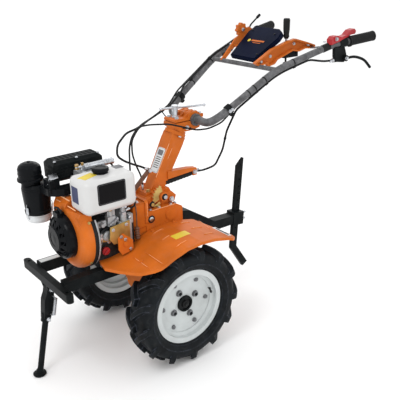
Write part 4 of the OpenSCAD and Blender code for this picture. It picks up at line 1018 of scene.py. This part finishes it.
# %% [markdown]
# Light catches a casting first along a corner. The column's corners get a rounded edge line, and some of
# them, like some gear case edges, a thin pale one on it: a painted highlight. Bolts, the union of the clutch
# cable and the rings of its boot follow.
# %% Column edges, bolts and clutch cable end
parts = [column_line(26.8 * end, 23.8 * side, 4 * end, 1.1, (0, 1)) for side in SIDES for end in SIDES]
make("column_edges", parts, "orange_paint")
# Thin pale lines on some column and gear case edges: painted highlights.
parts = [column_line(27.6, 24.9, 4, 0.8, (0.22, 0.9)), column_line(10, 25.2, 0, 0.7, (0.62, 0.84)),
         rod([(-84, 85.4, 553.5), (18, 85.4, 553.5)], 0.9),
         rod([(-116, 85.2, 538.6), (-90, 85.2, 553.3)], 0.8), rod([(42, 90.3, 590), (42, 90.3, 540)], 0.8)]
make("highlight_edges", parts, "highlight_orange")
parts = [p for v in (-35.6, 35.6) for p in bolt(column(0, v, 220.6), -COLUMN_UP, 6)]
parts += bolts([(-19, 28.1, 685, LEFT)], 7) + bolts([(72, 33.1, 604, LEFT)], 8)
UNION = [(9.4, 0), (9.4, 7), (6, 8.5), (6, 13), (7.6, 14), (7.6, 18), (5.4, 20)]
parts += spun([(UNION, (-232, 20, 633.5), (-1, 0.05, 0.085), 24, "hexagon")])
parts.append(rod([(-248, 24, 634), (-268, 33, 634.5)], 4.6))
parts += bolts([(-222, 32, 636, LEFT), (-222, 6, 636, RIGHT)], 8)
make("column_bolts", parts, "bright_steel")
RING = [(10.4, 0), (11.1, 1), (11.1, 4), (10.4, 5)]
parts = spun([(RING, (-100 - 15 * k, 19, 621 + 1.2 * k), (-1, 0, 0.085), 32) for k in range(7)])
make("clutch_boot_rings", parts, "black_rubber")

# %% [markdown]
# ## Steering head
# The head turns on the column and clamps the handlebar's tube under a split cap. Four bolts hold
# the cap. The T-handle is a plain bar with a ball at each end.
# %% Head bolts, T-handle
def ball(place, radius, count=20):
    """A sphere as a turned half circle."""
    turn = np.linspace(-0.49 * math.pi, 0.49 * math.pi, 9)
    return turned(radius * np.stack([np.cos(turn), np.sin(turn)], -1), place, TOP, count)


parts = bolts([(x, s * y, z, TOP) for x, y, z in ((-263, 15, 859), (-150, 24, 857)) for s in SIDES], 8)
parts += bolts([(-186, s * 38, 820, (0, s, 0)) for s in SIDES], 8)
make("head_bolts", parts, "bright_steel", "steering_head")
parts = [ball(at(-98, 0, 898), 6.4), ball(at(-300, 0, 882), 6.4)]
parts += spun([([(13.4, 0), (13.4, 6), (12.4, 7.5)], (-160, 0, 857.2), TOP, 24, "hexagon"),
               ([(12.2, 0), (13, 1), (13, 4), (12.2, 5)], (-160, 0, 896), TOP, 24)])
make("t_handle_ends", parts, "bright_steel", "steering_head")
CLUTCH_CLIP, THROTTLE_CLIP = (-308, 114, 771), (-172, 74, 826)
SHIFT_CLIP, STOP_CLIP = (-172, -98.6, 862.6), (-172, -112, 858)
parts = [rod([(-168, 37, 820), (-169, 58, 824), (-172, 70, 826)], 2.2, 8),
         rod([(-168, -37, 824), (-168, -60, 838), (-171, -118, 868)], 2.2, 8)]
parts += spun([(band(radius, 0.9, 5), place, way, 20) for place, radius, way in (
    (SHIFT_CLIP, 4.3, (1, 0.3, -0.25)), (STOP_CLIP, 3.5, (1, 0.3, -0.25)),
    (THROTTLE_CLIP, 3.5, (1, -0.4, -0.25)), (CLUTCH_CLIP, 4.3, (0.1, 0.4, 0.9)))])
make("cable_guide", parts, "black_paint", "steering_head")

# %% [markdown]
# ## Handlebar
# Two bent tubes run back from the clamp to the grips. Clips hold the cables under the left one and
# over the right one. Each arm is described by the same rounded path that its tube follows, so clips
# and cables find their places along it.
# %% Arm path
ARM_D, GRIP_L = 26.0, 118.0
ARM_JOINT, ARM_BEND = np.array([-284.0, 148, 884]), np.array([-499.0, 187, 1015])
ARM_HIGH, ARM_END = np.array([-737.0, 240, 1087]), np.array([-930.0, 287, 1110])
ARM_RISE, ARM_BACK = unit(ARM_BEND - ARM_JOINT), unit(ARM_HIGH - ARM_END)
arm_path = rounded([ARM_JOINT + 0.6 * ARM_RISE, ARM_BEND, ARM_HIGH, ARM_END + 3.3 * ARM_BACK], 50, 4)
FLIPS = {s: np.array([1, s, 1]) for s in SIDES}


def below(a, b, t, d, turn):
    """A point beside the line from a to b: share t along it, d from it, turned from straight below
    towards the machine's middle."""
    a, b = np.asarray(a, float), np.asarray(b, float)
    along = unit(b - a)
    over = unit(np.array([0, 0, 1.0]) - along[2] * along)
    side = np.cross(along, over)
    side = -side if side[1] * a[1] > 0 else side
    turn = math.radians(turn)
    return a + t * (b - a) - d * (math.cos(turn) * over - math.sin(turn) * side)


def along_arm(first, last, d, turn):
    """Points beside the arm's path, one for each of its points from first to last."""
    run = np.gradient(arm_path, axis=0)
    return [below(arm_path[n], arm_path[n] + run[n], 0, d, turn) for n in range(first, last + 1)]


def arm_point(share):
    """A point and the direction on the arm's two front stretches: share 0 to 1 on the first, 1 to 2 on
    the second."""
    if share < 1:
        return ARM_JOINT + share * (ARM_BEND - ARM_JOINT), ARM_RISE
    return ARM_BEND + (share - 1) * (ARM_HIGH - ARM_BEND), unit(ARM_HIGH - ARM_BEND)


print("arm points", len(arm_path))

# %% [markdown]
# A rubber clip is two turned bands, one round the tube and one round the cable beside it. A longer
# sleeve lies higher up the left arm. The bolts hold the collars, the brackets and the levers.
# %% Clips, sleeves and bolts on the arms
parts = []
for share, side in ((0.44, 1), (0.56, 1), (0.76, 1), (0.93, -1), (0.40, -1), (1.3, 1)):
    point, way = arm_point(share)
    flip = FLIPS[side]
    low = below(point, point + way, 0, 17, 0 if side > 0 else 180)
    parts += spun([(band(13.1, 0.6, 2.6, 0.6), point * flip, way * flip, 28),
                   (band(5.4, 0.8, 6), low * flip, way * flip, 18)])
point, way = arm_point(1.90)
parts += spun([(band(13.2, 1.4, 17, 1.5), point, way, 32)])
make("arm_clips", parts, "black_rubber", "handlebar")
parts = []
for flip in FLIPS.values():
    for k in (9, 19):
        out = below(ARM_JOINT, ARM_BEND, 0, 18.4, -90)
        parts += bolt(at(*((out + k * ARM_RISE) * flip)), unit(out - ARM_JOINT) * flip, 6)
parts += bolts([(-800, 269.3, 1034, LEFT), (-740, 264, 1112, LEFT), (-602, -115.3, 1130, LEFT),
                (-602, -141.3, 1130, RIGHT)], 7)
parts += bolts([(x, 89, z, LEFT) for x, z in ((-560, 1048), (-690, 1084), (-772, 1071), (-512, 1032))], 6)
parts += bolts([(-560, -128.3, 1078, RIGHT), (-628, -128.3, 1112, RIGHT)], 6)
parts += bolts([(-779, 170, 1088, TOP), (-592, -180, 1066, TOP)], 6)
parts += spun([([(4.2, 0), (4.5, 1), (4.5, 41)], (-664, 72, 1063), TOP, 20),
               ([(7, 0), (7, 4), (5, 5)], (-664, 72, 1062.4), TOP, 24, "hexagon"),
               ([(8.6, -1), (8.6, 4), (5.6, 5), (5.6, 14), (4.4, 15)], (-741, 250, 1030),
                (0.93, -0.12, -0.2), 24)])
make("handlebar_bolts", parts, "bright_steel", "handlebar")
parts = spun([([(9.4, 0), (9.8, 1), (9.8, 9), (8, 11)], (-516, -128.2, 1036), RIGHT, 24)])
make("bumper", parts, "black_rubber", "handlebar")

# %% [markdown]
# The grips are moulded rubber with fine rings. A grip's radius rises and falls with a cosine
# along its length. A bump in the material would leave its outline smooth. These rings show there too.
# %% Grips
def grip(flip):
    """Ribs as a turned profile: radius 18.25 + 0.4 * (1 + cos), one ring every 4.4 millimetres."""
    place = np.arange(8.0, GRIP_L - 10, 0.55)
    radius = 18.25 + 0.4 * (1 + np.cos(2 * math.pi * place / 4.4))
    profile = [(17.4, 7.4), *zip(radius, place), (17.4, GRIP_L - 9.6)]
    return turned(profile, at(*(ARM_END * flip)), ARM_BACK * flip, 36)


make("grip_ribs", [grip(flip) for flip in FLIPS.values()], "black_rubber", "handlebar", sharp=60)

# %% [markdown]
# The panel is a plain dark cover over the linkage. Its face rises towards the driver at 32 degrees.
# Two plain stripes and a dot stand where a maker would put a badge.
# %% Panel
LEAN = math.radians(32)
PANEL_BACK = np.array([-math.cos(LEAN), 0, math.sin(LEAN)])
PANEL_OUT = np.array([math.sin(LEAN), 0, math.cos(LEAN)])


def panel(u, v, w=18.0):
    """A place on the panel: u to the left, v up its slope and w out of its face."""
    return at(-503, 0, 1025) + (u * np.array(LEFT) + v * PANEL_BACK + w * PANEL_OUT) / 1000


make("panel_stripes", [plate(box_outline(*size), panel(u, v, 17.8), LEFT, PANEL_BACK, 0.9)
                       for size, u, v in (((72, 9, 1.5), -4, 104), ((44, 3.4, 1), -2, 92))],
     "orange_paint", "handlebar")
parts = [turned([(7.6, 0), (7.6, 0.7), (7, 0.9)], panel(-54, 103, 17.9), PANEL_OUT, 28)]
make("panel_dot", parts, "yellow_label", "handlebar")
parts = [turned([(4.6, -0.5), (4.6, 1.2), (3, 2.2), (1, 2.2)], panel(u, v), PANEL_OUT, 20)
         for u, v in ((-92, 32), (58, 30), (-88, 164), (46, 154))]
parts += plates([(30, 14, 3, (-684, 57, 1062.0), FRONT, LEFT, 4)])
parts += spun([([(5.4, 0), (5.4, 3), (4, 4)], (x, 83.4, 1046), LEFT, 20) for x in (-712, -656)])
parts += plates([(5, 24, 2, (-721.6, 66, 1046), RIGHT, TOP, 3)])
make("panel_screws", parts, "black_plastic", "handlebar")

# %% [markdown]
# ## Front stand and rear hitch
# The stand folds on a pin through the ears of the front bar, and a coil spring pulls it up. The rear
# hitch holds a drilled depth bar with two clamp bolts. The leg and the bar lean, so their pieces are
# placed along each one's own directions, as on the column.
# %% Stand spring and bolts
LEG_DOWN = unit(np.array([74.0, 0, -338]))
LEG_OUT = np.array([LEG_DOWN[2], 0, -LEG_DOWN[0]])


def leg(u, v, h):
    """A place by the leg's own directions: u behind it, v to the left of its pin and h down it."""
    return at(408, -8, 338) + (u * LEG_OUT + v * np.array(LEFT) + h * LEG_DOWN) / 1000


parts = [coil(leg(12, 35, 32), leg(12, 35, 92), 5.4, 1.2, 20)]
for h, way in ((27, 7), (97, -7)):
    parts.append(swept(rounded([leg(6, 19, h), leg(10, 35, h), leg(12, 35, h + way)], 0.004), circle(2.0, 8)))
make("stand_coil", parts, "bright_steel", "stand", replaces=["stand_spring"])
parts = [p for v, way in ((24, LEFT), (-24, RIGHT)) for p in bolt(leg(0, v, 115), way, 7)]
make("stand_bolts", parts, "bright_steel", "stand")
make("stand_pin_heads", bolts([(408, 15, 338, LEFT), (408, -31, 338, RIGHT)], 9), "bright_steel")
make("rail_plate", plates([(92, 24, 2, (349, -95, 399.7), FRONT, LEFT, 1.0)]), "silver_paint")
TILT = math.radians(5.5)
BAR_UP = np.array([-math.sin(TILT), 0, math.cos(TILT)])
BAR_FRONT = np.array([math.cos(TILT), 0, math.sin(TILT)])
CLAMP = [(11, 27), (11, 29), (9.3, 29.2), (9.3, 43), (8.2, 44), (5.3, 44.2), (5.3, 57), (4.4, 58)]
parts = spun([(CLAMP, BAR_UP * z + (-459, 0, 369), -BAR_FRONT, 24, "hexagon") for z in (-14, 14)])
parts += bolts([(-139, s * 28, 452, REAR) for s in SIDES], 8)
make("hitch_nuts", parts, "bright_steel")

# %% [markdown]
# ## Cables
# Four sheathed cables run from the handlebar past the steering head to the engine and gearbox. Two
# joints lie between their ends, so each is made in two lengths that meet in a clip beside the head:
# the front one runs between the machine and the head, the rear one between the head and the
# handlebar. The routes are lists of given points, rounded at every corner.
# %% Routes
CABLE, WIRE = 8.0, 6.5
HANG, WIRE_HANG = ARM_D / 2 + CABLE / 2 + 0.3, ARM_D / 2 + WIRE / 2 + 0.3


def from_arm(last, hang, turn, share, drop, side):
    """A cable's first stretch, forward beside an arm: points of its path from the last, and one nearer
    the cross tube that lies further off by drop."""
    points = [*along_arm(1, last, hang, turn)[::-1], below(ARM_JOINT, ARM_BEND, share, hang + drop, turn)]
    return [p * FLIPS[side] for p in points]


clutch_rear = [(-740.2, 250, 1030), (-700, 239, 1030), below(ARM_BEND, ARM_HIGH, 0.58, HANG, 0),
               *from_arm(5, HANG, 0, 0.15, 4, 1), (-304, 128, 804), CLUTCH_CLIP]
clutch_front = [CLUTCH_CLIP, (-314, 92, 720), (-300, 62, 652), (-266, 32, 633), (-234, 22, 633)]
throttle_rear = [*from_arm(6, WIRE_HANG, 34, 0.16, 5, 1), (-284, 122, 838), (-236, 104, 820),
                 (-196, 84, 818), THROTTLE_CLIP]
throttle_front = [THROTTLE_CLIP, (-148, 64, 834), (-98, 48, 851), (-24, 30, 858), (14, 16, 854),
                  (52, 28, 826), (68, 34, 790), (74, 40, 717), (86, 66, 640), (96, 100, 598), (141, 99, 592)]
shift_end = np.array([-19.0, 20, 685]) + 8.5 * unit(np.array([31.0, 0, 20]))
shift_rear = [*from_arm(8, HANG, 180, 0.22, 6, -1), (-284, -126, 916), (-222, -112, 876), SHIFT_CLIP]
shift_front = [SHIFT_CLIP, (-108, -80, 848), (-34, -26, 850), (10, 4, 846), (62, 8, 838), (106, 18, 806),
               (112, 20, 766), (84, 24, 742), (40, 22, 718), (12, 20, 705), shift_end]
stop_rear = [*from_arm(5, WIRE_HANG, 213, 0.22, 6, -1), (-284, -150, 918), (-224, -130, 872), STOP_CLIP]
stop_front = [STOP_CLIP, (-112, -94, 842), (-38, -42, 838), (4, -8, 836), (28, -12, 800), (30, -10, 749),
              (18, -7, 703), (0, -6, 660), (-4, -6, 630), (-4, -6, 605.3)]
print("front lengths' points", [len(r) for r in (clutch_front, throttle_front, shift_front, stop_front)])

# %% [markdown]
# A length is a circle carried along its rounded route. Both lengths stay where they are made and
# follow no body. A single cable would have to follow three bodies, and a blend goes between two,
# which is why there are two lengths.
# %% The cables, each in two lengths
def route(points, cut=16.0):
    """A cable's points with every corner rounded, in metres."""
    return places(rounded(np.array(points, float), cut, 5))


def cable_pair(line, replaced, diameter, front, front_bend, rear, rear_bend):
    """Two lengths, neither on a body. front_bend and rear_bend, the pairs of places where a length would
    turn from one body to the next, are not used."""
    paths, outline = [route(front), route(rear)], circle(diameter / 2, 12)
    make(line + "_front", [swept(paths[0], outline)], "black_rubber", replaces=[replaced],
         blend=("root", "steering_head", *(at(*p) for p in front_bend)))
    make(line + "_rear", [swept(paths[1], outline)], "black_rubber",
         blend=("steering_head", "handlebar", *(at(*p) for p in rear_bend)))
    metres = sum(np.linalg.norm(np.diff(path, axis=0), axis=1).sum() for path in paths)
    print(line, "is", round(float(metres), 3), "m long")


cable_pair("clutch_line", "clutch_cable", CABLE, clutch_front, ((-290, 50, 645), (-308, 112, 765)),
           clutch_rear, ((-308, 116, 775), (-326, 155, 884)))
cable_pair("throttle_line", "throttle_cable", WIRE, throttle_front, ((60, 34, 740), (-150, 66, 832)),
           throttle_rear, ((-180, 78, 822), (-320, 140, 890)))
cable_pair("shift_line", "shift_cable", CABLE, shift_front, ((30, 20, 730), (-150, -90, 860)),
           shift_rear, ((-180, -100, 864), (-320, -152, 930)))
cable_pair("stop_line", "stop_cable", WIRE, stop_front, ((20, -8, 740), (-150, -105, 855)),
           stop_rear, ((-180, -114, 860), (-320, -150, 925)))


# %% [markdown]
# Each sheath ends in a steel sleeve, a turned profile that points along the cable's last stretch
# into its casting or lever.
# %% Cable ends
def ferrule(radius, rise, length):
    """A cable's end sleeve: wider past its first millimetre, tapered back over its last two."""
    return [(radius, 0), (radius + rise, 1), (radius + rise, length - 2), (radius, length)]


parts = spun([(ferrule(3.6, 1.1, 19), (-4, -6, 605.6), TOP, 20),
              (ferrule(3.6, 1.1, 19), (140, 99, 592.2), (-1, 0.02, 0.13), 20),
              (ferrule(4.4, 1.0, 15), shift_end, (0.84, 0, 0.54), 20)])
make("cable_ends", parts, "bright_steel")
